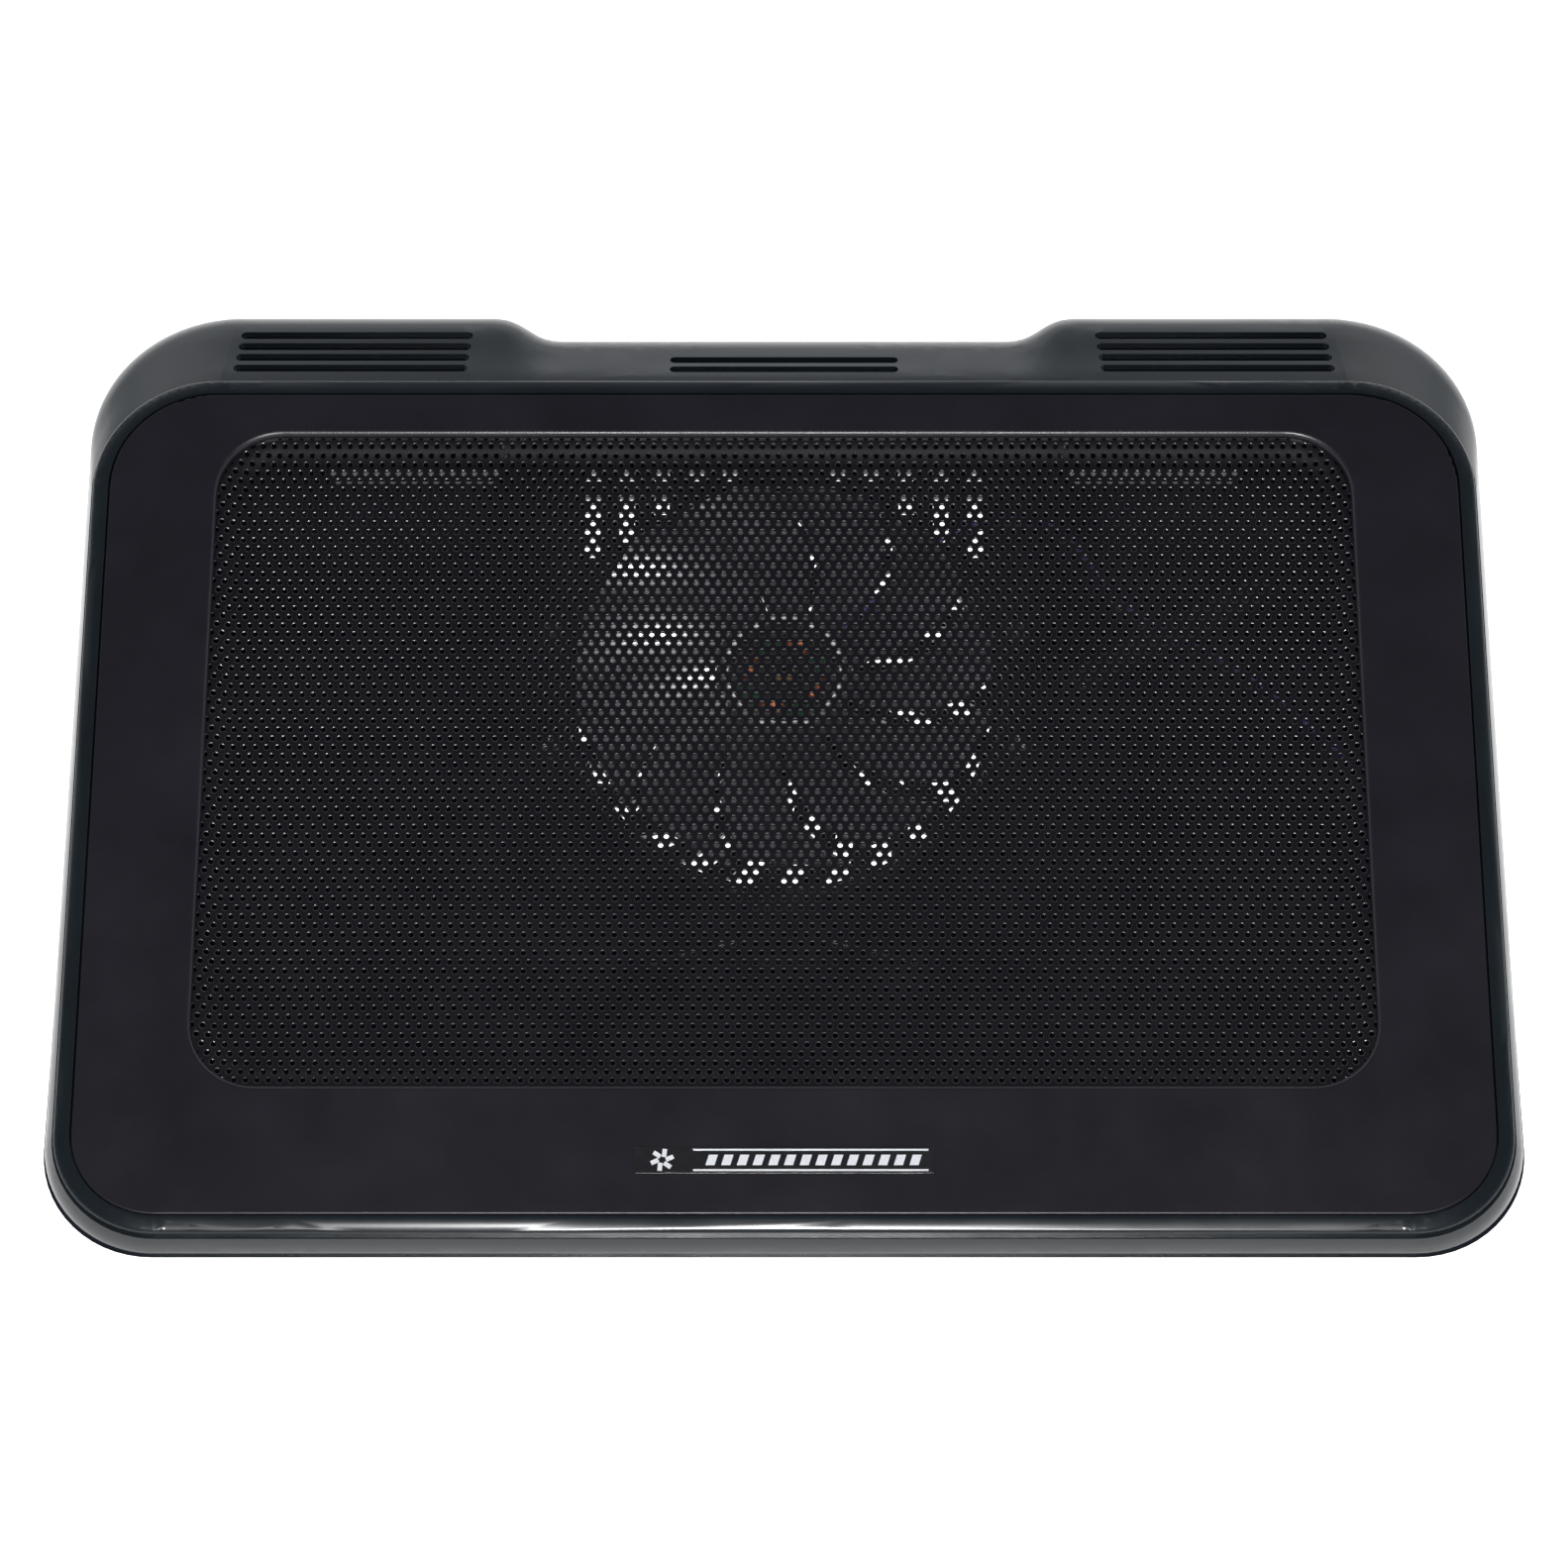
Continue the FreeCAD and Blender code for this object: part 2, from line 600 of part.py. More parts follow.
def make_bottom_shell():
    inner = [
        SHELL_LEVELS[0].inset(WALL, 90).lifted(1.0),
        SHELL_LEVELS[1].inset(WALL, 90),
        SHELL_LEVELS[2].inset(WALL, 90),
    ]
    inner[2].front = (inner[2].front[0] + 1.6, FOOT_HEIGHT + WALL)
    inner[2].back = (inner[2].back[0], FOOT_HEIGHT + WALL)
    shell = SHELL_OUTER.cut(loft(inner))

    duct_room = tunnel_plan(WALL + DUCT_GAP).extrude(Vector(0, 0, 60))
    duct_room.translate(Vector(0, 0, -1))
    duct_room = duct_room.common(under_ceiling(CEILING_DEPTH - DUCT_GAP))

    bosses = [rod(x, y, FOOT_HEIGHT, split_z(y) - 0.1, 4.4) for x, y in SHELL_SCREWS]
    bosses = fuse(bosses).common(SHELL_MIDDLE)
    holes = []
    for x, y in SHELL_SCREWS:
        seat = split_z(y) - SHELL_SEAT_DROP
        holes.append(rod(x, y, 0, seat, SCREW_HEAD_R + 0.4))
        holes.append(rod(x, y, 0, split_z(y) + 1, CLEAR_R))

    floor_slots = []
    for distance in (-0.8, 2.7):
        cutter = stadium(98.9, PANEL_REAR_Y + distance, 45.0, 1.8, 0, FOOT_HEIGHT + 4)
        floor_slots += [cutter, mirrored(cutter)]

    standoffs = [rod(x, y, FOOT_HEIGHT + 1, BOARD_TOP - 1.2, 2.4) for x, y in BOARD_SCREWS]
    board_pilots = [rod(x, y, FOOT_HEIGHT + 0.6, BOARD_TOP, PILOT_R) for x, y in BOARD_SCREWS]
    ports = [
        box(170, WALL_OUTER_X + 5, USB_Y - 6.85, USB_Y + 6.85, BOARD_TOP - 0.3, BOARD_TOP + 6.0),
        box(170, WALL_OUTER_X + 5, INLET_Y - 4.15, INLET_Y + 4.15, BOARD_TOP - 0.3, BOARD_TOP + 4.3),
        box(170, WALL_OUTER_X + 5, SWITCH_Y - 3.6, SWITCH_Y + 3.6, BOARD_TOP + SWITCH_ROOM_LOW,
            BOARD_TOP + SWITCH_ROOM_HIGH),
        finger_dish(),
    ]

    shell = shell.cut(duct_room).multiFuse([bosses] + standoffs)
    return shell.cut(Part.makeCompound([rear_mouth()] + holes + floor_slots + board_pilots + ports))


def on_roof_side(edge):
    """True for the duct's upper edge along its sides and front, not at the back."""
    middle = edge.CenterOfGravity
    depth = (PANEL.inverse().multVec(middle)).z
    return abs(depth + CEILING_DEPTH) < 0.01 and edge.BoundBox.YLength > 10


def make_air_duct():
    """Channel let into the shell from behind: roof with the grille, walls and floor flange."""
    rise = Vector(0, 0, 60)
    under_roof = under_ceiling(CEILING_DEPTH)
    block = tunnel_plan(WALL).extrude(rise).common(under_roof)
    ridge = [edge for edge in block.Edges if on_roof_side(edge)]
    block = block.makeFillet(DUCT_FILLET, ridge).common(SHELL_MIDDLE)
    floor_top = FOOT_HEIGHT + WALL
    flange = tunnel_plan(WALL + DUCT_FLANGE).extrude(Vector(0, 0, 1.6))
    flange.translate(Vector(0, 0, floor_top))
    flange = flange.common(SHELL_MIDDLE)
    flange = flange.cut(box(-250, 250, PANEL_REAR_Y - 1.5, PANEL_REAR_Y + 60, 0, 60))
    boss_room = [rod(x, y, 0, 20, 4.8) for x, y in SHELL_SCREWS]
    flange = flange.cut(Part.makeCompound(boss_room))
    void = tunnel_plan(0).extrude(rise)
    void.translate(Vector(0, 0, -1))
    void = void.common(under_ceiling(CEILING_DEPTH + WALL))
    duct = block.fuse(flange).cut(void)
    duct = duct.cut(box(-250, 250, -300, 300, -5, FOOT_HEIGHT)).cut(rear_mouth())

    posts = []
    pilots = []
    for angle in LUG_ANGLES:
        posts.append(spun(rod(LUG_R, 0, -6.5, -1.0, 3.4), angle))
        pilots.append(spun(rod(LUG_R, 0, -5.6, 1.0, PILOT_R), angle))
    duct = duct.multiFuse([placed(post, ROOF) for post in posts])
    cutters = [placed(cutter, ROOF) for cutter in pilots + grille_cutters()]
    return duct.cut(Part.makeCompound(cutters + ceiling_slots()))


# ---------------------------------------------------------------- screws and feet
def pan_screw(x, y, seat, length, head_down=False):
    """Pan-head screw whose head rests on z = seat; the head is below when head_down."""
    if head_down:
        shank = rod(x, y, seat, seat + length, SCREW_SHANK_R)
        head = rod(x, y, seat - 2.0, seat, SCREW_HEAD_R)
        face_z = seat - 2.0
        cross_z = face_z - 0.2
    else:
        shank = rod(x, y, seat - length, seat, SCREW_SHANK_R)
        head = rod(x, y, seat, seat + 2.0, SCREW_HEAD_R)
        face_z = seat + 2.0
        cross_z = face_z - 1.0
    head = fillet_where(head, 0.7, lambda edge: at_height(edge, face_z))
    recess = []
    for a, b in ((1.7, 0.35), (0.35, 1.7)):
        recess.append(box(x - a, x + a, y - b, y + b, cross_z, cross_z + 1.2))
    return fuse([shank, head]).cut(fuse(recess))


def make_shell_screws():
    screws = []
    for x, y in SHELL_SCREWS:
        screws.append(pan_screw(x, y, split_z(y) - SHELL_SEAT_DROP, 10.0, head_down=True))
    return Part.makeCompound(screws)


def make_foot(x, y, half_x, half_y):
    pad = rounded_plate(half_x, -half_y, half_y, 3.0, 3.0, 0, FOOT_HEIGHT)
    pad = fillet_where(pad, 0.6, lambda edge: at_height(edge, 0))
    pad.translate(Vector(x, y, 0))
    return pad


# ---------------------------------------------------------------- fan
# Drawn in the fan frame: z is the height above the underside of the struts.
BASE_TOP = 1.9
BOARD_SEAT = 2.4
LUG_TOP = -0.2
BUSH_R = 3.0
BUSH_BOTTOM = 1.9
BUSH_TOP = 9.6
TUBE_R = 4.6
YOKE_OUTER = 16.2
YOKE_INNER = 15.4
MAGNET_INNER = 13.8
YOKE_TOP = 11.9
CUP_TOP = 13.6
CUP_EDGE = 2.4             # rounding of the hub's upper edge
CORE_LOW = 5.2
CORE_HIGH = 8.8
ARM_HALF = 1.4
BLADE_TOP = 12.6
BLADE_SPAN = (4.2, 14.2)   # half the width of a blade along the turn, root and tip
BLADE_RISE = (5.0, 8.6)    # height from its lower edge to its upper edge
BLADE_THICK = (1.5, 1.1)
BLADE_PHASE = 21.8         # angle of the first blade's root
BLADE_SWEEP = 27.0         # how far its tip leads


def make_fan_frame():
    """Low round wall on the duct's roof, with four struts to the motor's base."""
    wall = ring(-FAN_LIFT, BASE_TOP, FRAME_OUTER_R, FRAME_INNER_R)
    wall = fillet_where(wall, 0.7, lambda edge: at_height(edge, BASE_TOP))
    base = rod(0, 0, 0, BASE_TOP, HUB_R - 0.4)
    tube = rod(0, 0, BASE_TOP - 0.5, CORE_LOW + 1.6, TUBE_R)
    nubs = [spun(rod(11.5, 0, BASE_TOP - 0.2, BOARD_SEAT, 1.0), 120 * turn) for turn in range(3)]
    strut = box(15, FRAME_INNER_R + 0.8, -2.3, 2.3, 0, BASE_TOP - 0.7)
    struts = [spun(strut, 45 + 90 * turn) for turn in range(4)]
    pad = rod(LUG_R, 0, -FAN_LIFT, LUG_TOP, 4.6)
    pad = pad.fuse(box(FRAME_INNER_R + 1, LUG_R, -4.6, 4.6, -FAN_LIFT, LUG_TOP))
    lugs = [spun(pad, angle) for angle in LUG_ANGLES]
    frame = fuse([wall, base, tube] + nubs + struts + lugs)
    holes = [spun(rod(LUG_R, 0, -5, 5, CLEAR_R), angle) for angle in LUG_ANGLES]
    oil_well = rod(0, 0, 0.9, CORE_LOW + 3, BUSH_R)
    frame = frame.cut(Part.makeCompound(holes + [oil_well]))
    return placed(frame, FAN)


def make_bearing_bush():
    bush = ring(BUSH_BOTTOM, BUSH_TOP, BUSH_R, SHAFT_R + BUSH_CLEARANCE)
    return placed(bush, FAN)


def make_fan_shaft():
    shaft = rod(0, 0, 1.15, 13.0, SHAFT_R)
    groove = ring(1.4, 1.8, SHAFT_R + 1, SHAFT_R - 0.3)
    return placed(shaft.cut(groove), FAN)


def make_shaft_retainer():
    washer = ring(1.42, 1.78, 2.4, SHAFT_R - 0.28)
    return placed(washer, FAN)


def make_fan_circuit_board():
    board = ring(BOARD_SEAT, BOARD_SEAT + 1.0, 14.4, TUBE_R + 0.1)
    chips = [spun(box(8.6, 11.6, -1.5, 1.5, 3.3, 3.8), angle) for angle in (80, 260)]
    return placed(fuse([board] + chips), FAN)


def make_stator_core():
    """Laminated iron: a hub, four arms and four curved pole faces."""
    hub = rod(0, 0, CORE_LOW, CORE_HIGH, 6.3)
    pole_ring = ring(CORE_LOW, CORE_HIGH, 13.2, 11.7)
    wedge = Part.makeCylinder(20, CORE_HIGH - CORE_LOW, Vector(0, 0, CORE_LOW), UP, 72)
    pieces = [hub]
    for pole in range(POLES):
        angle = POLE_TURN + 90 * pole
        pieces.append(spun(box(5, 12.2, -ARM_HALF, ARM_HALF, CORE_LOW, CORE_HIGH), angle))
        pieces.append(pole_ring.common(spun(wedge, angle - 36)))
    core = fuse(pieces).cut(rod(0, 0, 0, 20, TUBE_R + 0.03))
    return placed(core, FAN)


def make_stator_bobbin():
    """Insulating sleeves on the arms, joined by a collar above the core."""
    parts = []
    collar = ring(CORE_HIGH + 0.02, CORE_HIGH + 0.8, 7.4, TUBE_R + 0.4)
    for pole in range(POLES):
        sleeve = box(6.8, 11.0, -2.0, 2.0, CORE_LOW - 0.6, CORE_HIGH + 0.6)
        inner_flange = box(6.8, 7.4, -3.6, 3.6, 3.95, 10.0)
        outer_flange = box(10.6, 11.0, -3.6, 3.6, 3.95, 10.0)
        parts += [spun(piece, POLE_TURN + 90 * pole) for piece in (sleeve, inner_flange, outer_flange)]
    bobbin = fuse([collar] + parts)
    hub_room = rod(0, 0, CORE_LOW - 3, CORE_HIGH + 0.01, 6.33)
    arm_room = []
    for pole in range(POLES):
        slot = box(5, 12.4, -ARM_HALF - 0.02, ARM_HALF + 0.02, CORE_LOW - 0.02, CORE_HIGH + 0.02)
        arm_room.append(spun(slot, POLE_TURN + 90 * pole))
    return placed(bobbin.cut(Part.makeCompound([hub_room] + arm_room)), FAN)


def make_stator_coils():
    coils = []
    for pole in range(POLES):
        winding = box(7.45, 10.55, -3.5, 3.5, 4.0, 9.95)
        winding = fillet_where(winding, 0.9, lambda edge: abs(edge.Length - 3.1) < 1e-3)
        winding = winding.cut(box(7, 12, -2.03, 2.03, CORE_LOW - 0.63, CORE_HIGH + 0.63))
        coils.append(spun(winding, POLE_TURN + 90 * pole))
    return placed(Part.makeCompound(coils), FAN)


def make_rotor_magnet():
    return placed(ring(4.3, 11.0, YOKE_INNER, MAGNET_INNER), FAN)


def make_rotor_yoke():
    """Steel ring round the magnet with a narrow lip turned in over its top."""
    sleeve = ring(4.2, YOKE_TOP, YOKE_OUTER, YOKE_INNER)
    lip = ring(11.05, YOKE_TOP, YOKE_OUTER - 0.1, MAGNET_INNER + 0.4)
    return placed(sleeve.fuse(lip).removeSplitter(), FAN)


def blade_section(radius, angle, half_span, high, low, thick):
    """Cambered strip across a blade at one radius, as a closed wire."""
    a = math.radians(angle)
    outward = Vector(math.cos(a), math.sin(a), 0)
    along = Vector(-math.sin(a), math.cos(a), 0)
    rise = (high - low) / 2
    chord = math.hypot(half_span, rise)
    normal = along * (rise / chord) + UP * (half_span / chord)
    camber = 0.16 * half_span
    lead = outward * radius + along * -half_span + UP * high
    trail = outward * radius + along * half_span + UP * low
    middle = (lead + trail) * 0.5 + normal * camber
    offset = normal * (thick / 2)
    upper = Part.Arc(lead + offset, middle + offset, trail + offset).toShape()
    lower = Part.Arc(trail - offset, middle - offset, lead - offset).toShape()
    return Part.Wire([upper, line(trail + offset, trail - offset), lower, line(lead - offset, lead + offset)])


def between(ends, share):
    """Value at a share of the way from the first end to the second."""
    return ends[0] + (ends[1] - ends[0]) * share


def make_fan_rotor():
    sections = []
    root = HUB_R - 1.0
    reach = BLADE_TIP_R + 1.5 - root
    for share in (0.0, 0.25, 0.5, 0.75, 1.0):
        turn = BLADE_PHASE + BLADE_SWEEP * share ** 1.7
        half_span = between(BLADE_SPAN, share)
        rise = between(BLADE_RISE, share ** 0.6)
        thick = between(BLADE_THICK, share)
        radius = root + share * reach
        sections.append(blade_section(radius, turn, half_span, BLADE_TOP, BLADE_TOP - rise, thick))
    blade = Part.makeLoft(sections, True, False)
    blade = blade.common(ring(0, 20, BLADE_TIP_R, HUB_R - 0.9))
    blades = [spun(blade, 360.0 * turn / BLADE_COUNT) for turn in range(BLADE_COUNT)]
    cup = rod(0, 0, 3.9, CUP_TOP, HUB_R)
    cup = fillet_where(cup, CUP_EDGE, lambda edge: at_height(edge, CUP_TOP))
    cup = cup.cut(rod(0, 0, 3, YOKE_TOP + 0.05, YOKE_OUTER))
    boss = rod(0, 0, 10.2, 12.4, 3.4)
    hub = fuse([cup, boss]).cut(rod(0, 0, 9, 13.0, SHAFT_R))
    return placed(hub.multiFuse(blades), FAN)


def make_fan_screws():
    screws = []
    for angle in LUG_ANGLES:
        screws.append(spun(pan_screw(LUG_R, 0, LUG_TOP, 8.2), angle))
    return placed(Part.makeCompound(screws), FAN)


# ---------------------------------------------------------------- leads
def fan_point(x, y, z):
    return FAN.multVec(Vector(x, y, z))


LEAD_R = 0.6
# Each route leaves the fan's circuit board along a strut, drops off the tunnel roof
# and crosses the floor to the port board.
SUPPLY_ROUTE = [
    fan_point(9.84, 10.90, 2.75), fan_point(43.4, 44.6, 2.7), Vector(57.0, 75.2, 24.6),
    Vector(70.5, 74.0, 23.6), Vector(79.5, 67.5, 15.4), Vector(87.0, 61.0, 7.4),
    Vector(96.5, 54.0, 5.15), Vector(110.0, 46.4, 5.15), Vector(126.0, 34.0, 5.15),
    Vector(139.0, 19.5, 5.4), Vector(148.0, 7.0, 7.2), Vector(156.5, -1.6, 8.1),
    Vector(163.0, -4.6, 8.05),
]
RETURN_ROUTE = [
    fan_point(10.90, 9.84, 2.75), fan_point(44.8, 43.2, 2.7), Vector(57.6, 73.2, 24.4),
    Vector(70.3, 71.8, 23.4), Vector(78.8, 65.4, 15.2), Vector(86.0, 59.2, 7.3),
    Vector(95.4, 52.2, 5.15), Vector(108.8, 44.8, 5.15), Vector(124.4, 32.6, 5.15),
    Vector(137.0, 18.4, 5.4), Vector(146.2, 5.4, 7.2), Vector(155.2, -4.0, 8.1),
    Vector(163.0, -7.2, 8.05),
]


def lead_wire(route):
    """Straight runs joined by tangent arcs; returns the wire and the smallest radius."""
    edges = []
    start = route[0]
    radii = []
    for before, corner, after in zip(route, route[1:], route[2:]):
        to_before = before - corner
        to_after = after - corner
        shorter = min(to_before.Length, to_after.Length)
        half_turn = (math.pi - to_before.getAngle(to_after)) / 2
        trim = 0.45 * shorter
        radius = trim / math.tan(half_turn)
        radii.append(radius)
        enter = corner + to_before.normalize() * trim
        leave = corner + to_after.normalize() * trim
        inward = (to_before + to_after).normalize()
        reach = radius / math.cos(half_turn) - radius
        edges.append(line(start, enter))
        edges.append(Part.Arc(enter, corner + inward * reach, leave).toShape())
        start = leave
    edges.append(line(start, route[-1]))
    return Part.Wire(edges), radii


def make_lead(route):
    path, radii = lead_wire(route)
    heading = route[1] - route[0]
    section = Part.Wire([Part.Circle(route[0], heading, LEAD_R).toShape()])
    tube = path.makePipeShell([section], True, True)
    share = tube.Volume / (math.pi * LEAD_R ** 2 * path.Length)
    print("lead: smallest bend", round(min(radii), 1), "length", round(path.Length, 1))
    print("lead: swept share of its ideal volume", round(share, 4))
    return tube


CLIP_MIDDLE = Vector(101.5, 51.0, 0)
CLIP_TURN = 30.3
CLIP_HEIGHT = 3.0
CHANNEL_HEIGHT = 2.0
CHANNEL_TURN = -30.0       # direction of the leads under the clip


def make_lead_clip():
    """Low strip screwed across the leads, hollow underneath where they pass."""
    floor_top = FOOT_HEIGHT + WALL
    strip = rounded_plate(30.0, -4.0, 4.0, 2.0, 2.0, floor_top, floor_top + CLIP_HEIGHT)
    strip = fillet_where(strip, 0.8, lambda edge: at_height(edge, floor_top + CLIP_HEIGHT))
    strip.rotate(Vector(), UP, CLIP_TURN)
    channel = box(-20, 20, -3.2, 3.2, floor_top - 1, floor_top + CHANNEL_HEIGHT)
    channel.rotate(Vector(), UP, CHANNEL_TURN)
    clip = strip.cut(channel)
    clip.translate(CLIP_MIDDLE)
    return clip


# ---------------------------------------------------------------- ports
def make_port_board():
    board = box(BOARD_LEFT, BOARD_RIGHT, BOARD_Y - 23.0, BOARD_Y + 23.0, BOARD_TOP - 1.2, BOARD_TOP)
    holes = [rod(x, y, 0, 20, CLEAR_R) for x, y in BOARD_SCREWS]
    return board.cut(Part.makeCompound(holes))


def socket_shell(middle_y, half_width, height, depth):
    """Folded sheet-steel socket body, open at its mouth."""
    skin = 0.3
    outer = box(PORT_MOUTH_X - depth, PORT_MOUTH_X, middle_y - half_width, middle_y + half_width,
                BOARD_TOP, BOARD_TOP + height)
    outer = fillet_where(outer, 0.5, lambda edge: abs(edge.Length - depth) < 1e-4)
    inner = box(PORT_MOUTH_X - depth + skin, PORT_MOUTH_X + 1, middle_y - half_width + skin,
                middle_y + half_width - skin, BOARD_TOP + skin, BOARD_TOP + height - skin)
    return outer.cut(inner)


def make_usb_socket_tongue():
    back = box(PORT_MOUTH_X - USB_DEPTH + 0.35, PORT_MOUTH_X - USB_DEPTH + 4.0,
               USB_Y - 6.2, USB_Y + 6.2, BOARD_TOP + 0.35, BOARD_TOP + USB_HEIGHT - 0.35)
    tongue = box(PORT_MOUTH_X - USB_DEPTH + 3.5, PORT_MOUTH_X - 1.0,
                 USB_Y - 5.5, USB_Y + 5.5, BOARD_TOP + 3.0, BOARD_TOP + 4.8)
    return fuse([back, tongue])


def make_power_inlet_tongue():
    back = box(PORT_MOUTH_X - INLET_DEPTH + 0.35, PORT_MOUTH_X - INLET_DEPTH + 3.0,
               INLET_Y - 3.5, INLET_Y + 3.5, BOARD_TOP + 0.35, BOARD_TOP + INLET_HEIGHT - 0.35)
    tongue = box(PORT_MOUTH_X - INLET_DEPTH + 2.5, PORT_MOUTH_X - 0.8,
                 INLET_Y - 2.4, INLET_Y + 2.4, BOARD_TOP + 1.5, BOARD_TOP + 2.4)
    return fuse([back, tongue])


def make_switch_body():
    case = box(170.5, 176.4, SWITCH_Y - 5.5, SWITCH_Y + 5.5, BOARD_TOP, BOARD_TOP + 4.2)
    room = box(172.0, 177.0, SWITCH_Y - 4.2, SWITCH_Y + 4.2, BOARD_TOP + SWITCH_ROOM_LOW,
               BOARD_TOP + SWITCH_ROOM_HIGH)
    return case.cut(room)


def make_switch_slider():
    """Slider at the front end of its travel, with a ribbed thumb piece outside the wall."""
    rest_y = SWITCH_Y - SWITCH_TRAVEL / 2
    shoe = box(172.3, 176.0, rest_y - 2.6, rest_y + 2.6, BOARD_TOP + 1.1, BOARD_TOP + 3.1)
    stem = box(175.5, WALL_OUTER_X - 0.2, rest_y - 2.1, rest_y + 2.1, BOARD_TOP + 1.1, BOARD_TOP + 3.1)
    slider = fuse([shoe, stem])
    for step in (-1.3, 0.0, 1.3):
        middle = rest_y + step
        groove = box(WALL_OUTER_X - 0.6, WALL_OUTER_X, middle - 0.25, middle + 0.25,
                     BOARD_TOP, BOARD_TOP + 5)
        slider = slider.cut(groove)
    return slider


def make_board_screws():
    return Part.makeCompound([pan_screw(x, y, BOARD_TOP, 4.4) for x, y in BOARD_SCREWS])


# ---------------------------------------------------------------- export
FEET = {
    "foot_front_left": (-138.0, PANEL_REAR_Y - 208.0, 13.0, 6.0),
    "foot_front_right": (138.0, PANEL_REAR_Y - 208.0, 13.0, 6.0),
    "foot_rear_left": (-118.0, PANEL_REAR_Y + 16.0, 13.0, 6.0),
    "foot_rear_right": (118.0, PANEL_REAR_Y + 16.0, 13.0, 6.0),
}


def all_nodes():
    nodes = {
        "top_cover": make_top_cover(),
        "top_bezel": make_top_bezel(),
        "mesh_panel": make_mesh_panel(),
        "name_plate": make_name_plate(),
        "name_plate_trim": make_name_plate_trim(),
        "bottom_shell": make_bottom_shell(),
        "air_duct": make_air_duct(),
        "shell_screws": make_shell_screws(),
        "fan_frame": make_fan_frame(),
        "fan_rotor": make_fan_rotor(),
        "rotor_yoke": make_rotor_yoke(),
        "rotor_magnet": make_rotor_magnet(),
        "fan_shaft": make_fan_shaft(),
        "shaft_retainer": make_shaft_retainer(),
        "bearing_bush": make_bearing_bush(),
        "stator_core": make_stator_core(),
        "stator_bobbin": make_stator_bobbin(),
        "stator_coils": make_stator_coils(),
        "fan_circuit_board": make_fan_circuit_board(),
        "fan_screws": make_fan_screws(),
        "lead_supply": make_lead(SUPPLY_ROUTE),
        "lead_return": make_lead(RETURN_ROUTE),
        "lead_clip": make_lead_clip(),
        "port_board": make_port_board(),
        "usb_socket_shell": socket_shell(USB_Y, USB_HALF_WIDTH, USB_HEIGHT, USB_DEPTH),
        "usb_socket_tongue": make_usb_socket_tongue(),
        "power_inlet_shell": socket_shell(INLET_Y, INLET_HALF_WIDTH, INLET_HEIGHT, INLET_DEPTH),
        "power_inlet_tongue": make_power_inlet_tongue(),
        "switch_body": make_switch_body(),
        "switch_slider": make_switch_slider(),
        "board_screws": make_board_screws(),
    }
    for name, (x, y, half_x, half_y) in FEET.items():
        nodes[name] = make_foot(x, y, half_x, half_y)
    return nodes


for node_name, node_shape in all_nodes().items():
    size = node_shape.BoundBox
    print(node_name, "solids", len(node_shape.Solids), "valid", node_shape.isValid())
    print("   x", round(size.XMin, 1), round(size.XMax, 1), "y", round(size.YMin, 1),
          round(size.YMax, 1), "z", round(size.ZMin, 1), round(size.ZMax, 1))
    node_shape.exportStep(f"parts/{node_name}.step")
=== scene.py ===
"""Looks of the laptop cooling pad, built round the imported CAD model.

Metres, in the CAD frame: +X right, +Y towards the raised back, +Z up.
"""
import json
import math

import bpy
import numpy as np
from mathutils import Matrix, Vector


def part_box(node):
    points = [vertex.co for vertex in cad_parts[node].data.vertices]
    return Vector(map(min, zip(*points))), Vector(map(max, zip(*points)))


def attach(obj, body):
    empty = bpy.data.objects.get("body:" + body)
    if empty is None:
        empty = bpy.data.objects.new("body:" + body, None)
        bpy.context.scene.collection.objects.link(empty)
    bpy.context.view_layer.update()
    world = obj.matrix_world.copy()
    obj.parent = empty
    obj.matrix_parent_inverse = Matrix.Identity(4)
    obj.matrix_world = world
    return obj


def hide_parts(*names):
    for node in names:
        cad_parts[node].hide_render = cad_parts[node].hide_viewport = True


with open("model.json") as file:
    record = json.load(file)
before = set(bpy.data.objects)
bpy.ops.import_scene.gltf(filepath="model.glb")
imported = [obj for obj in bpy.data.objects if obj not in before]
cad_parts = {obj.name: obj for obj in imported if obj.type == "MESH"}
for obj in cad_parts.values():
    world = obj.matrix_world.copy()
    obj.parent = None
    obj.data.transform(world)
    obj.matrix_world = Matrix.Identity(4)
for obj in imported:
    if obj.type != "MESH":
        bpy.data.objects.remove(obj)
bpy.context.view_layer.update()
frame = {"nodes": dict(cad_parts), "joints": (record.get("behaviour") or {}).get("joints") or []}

MM = 0.001
NODES = frame["nodes"]


def joint(name):
    return next(entry for entry in frame["joints"] if entry["name"] == name)


FAN_AXIS = Vector(joint("fan_spin")["axis"]).normalized()
FAN_POINT = Vector(joint("fan_spin")["pos_m"])
BEZEL_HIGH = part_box("top_bezel")[1]
MESH_LOW, MESH_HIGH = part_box("mesh_panel")
TILT = math.atan2(-FAN_AXIS.y, FAN_AXIS.z)

# Panel frame: x as the object, y up the slope, z out of the top face. Its origin is the
# middle of the mesh sheet, on the sheet's upper face.
_middle_y = (MESH_LOW.y + MESH_HIGH.y) / 2
_middle_z = (MESH_LOW.z + MESH_HIGH.z) / 2
SHEET_THICK = 0.8 * MM
_sheet_origin = Vector((0, _middle_y, _middle_z)) + FAN_AXIS * SHEET_THICK / 2
PANEL = Matrix.Translation(_sheet_origin) @ Matrix.Rotation(TILT, 4, "X")
SHEET_HALF_WIDTH = MESH_HIGH.x
_sheet_run = MESH_HIGH.y - MESH_LOW.y - SHEET_THICK * math.sin(TILT)
SHEET_HALF_LENGTH = _sheet_run / 2 / math.cos(TILT)
FLANGE = 6.0 * MM          # the part of the sheet that lies under the bezel

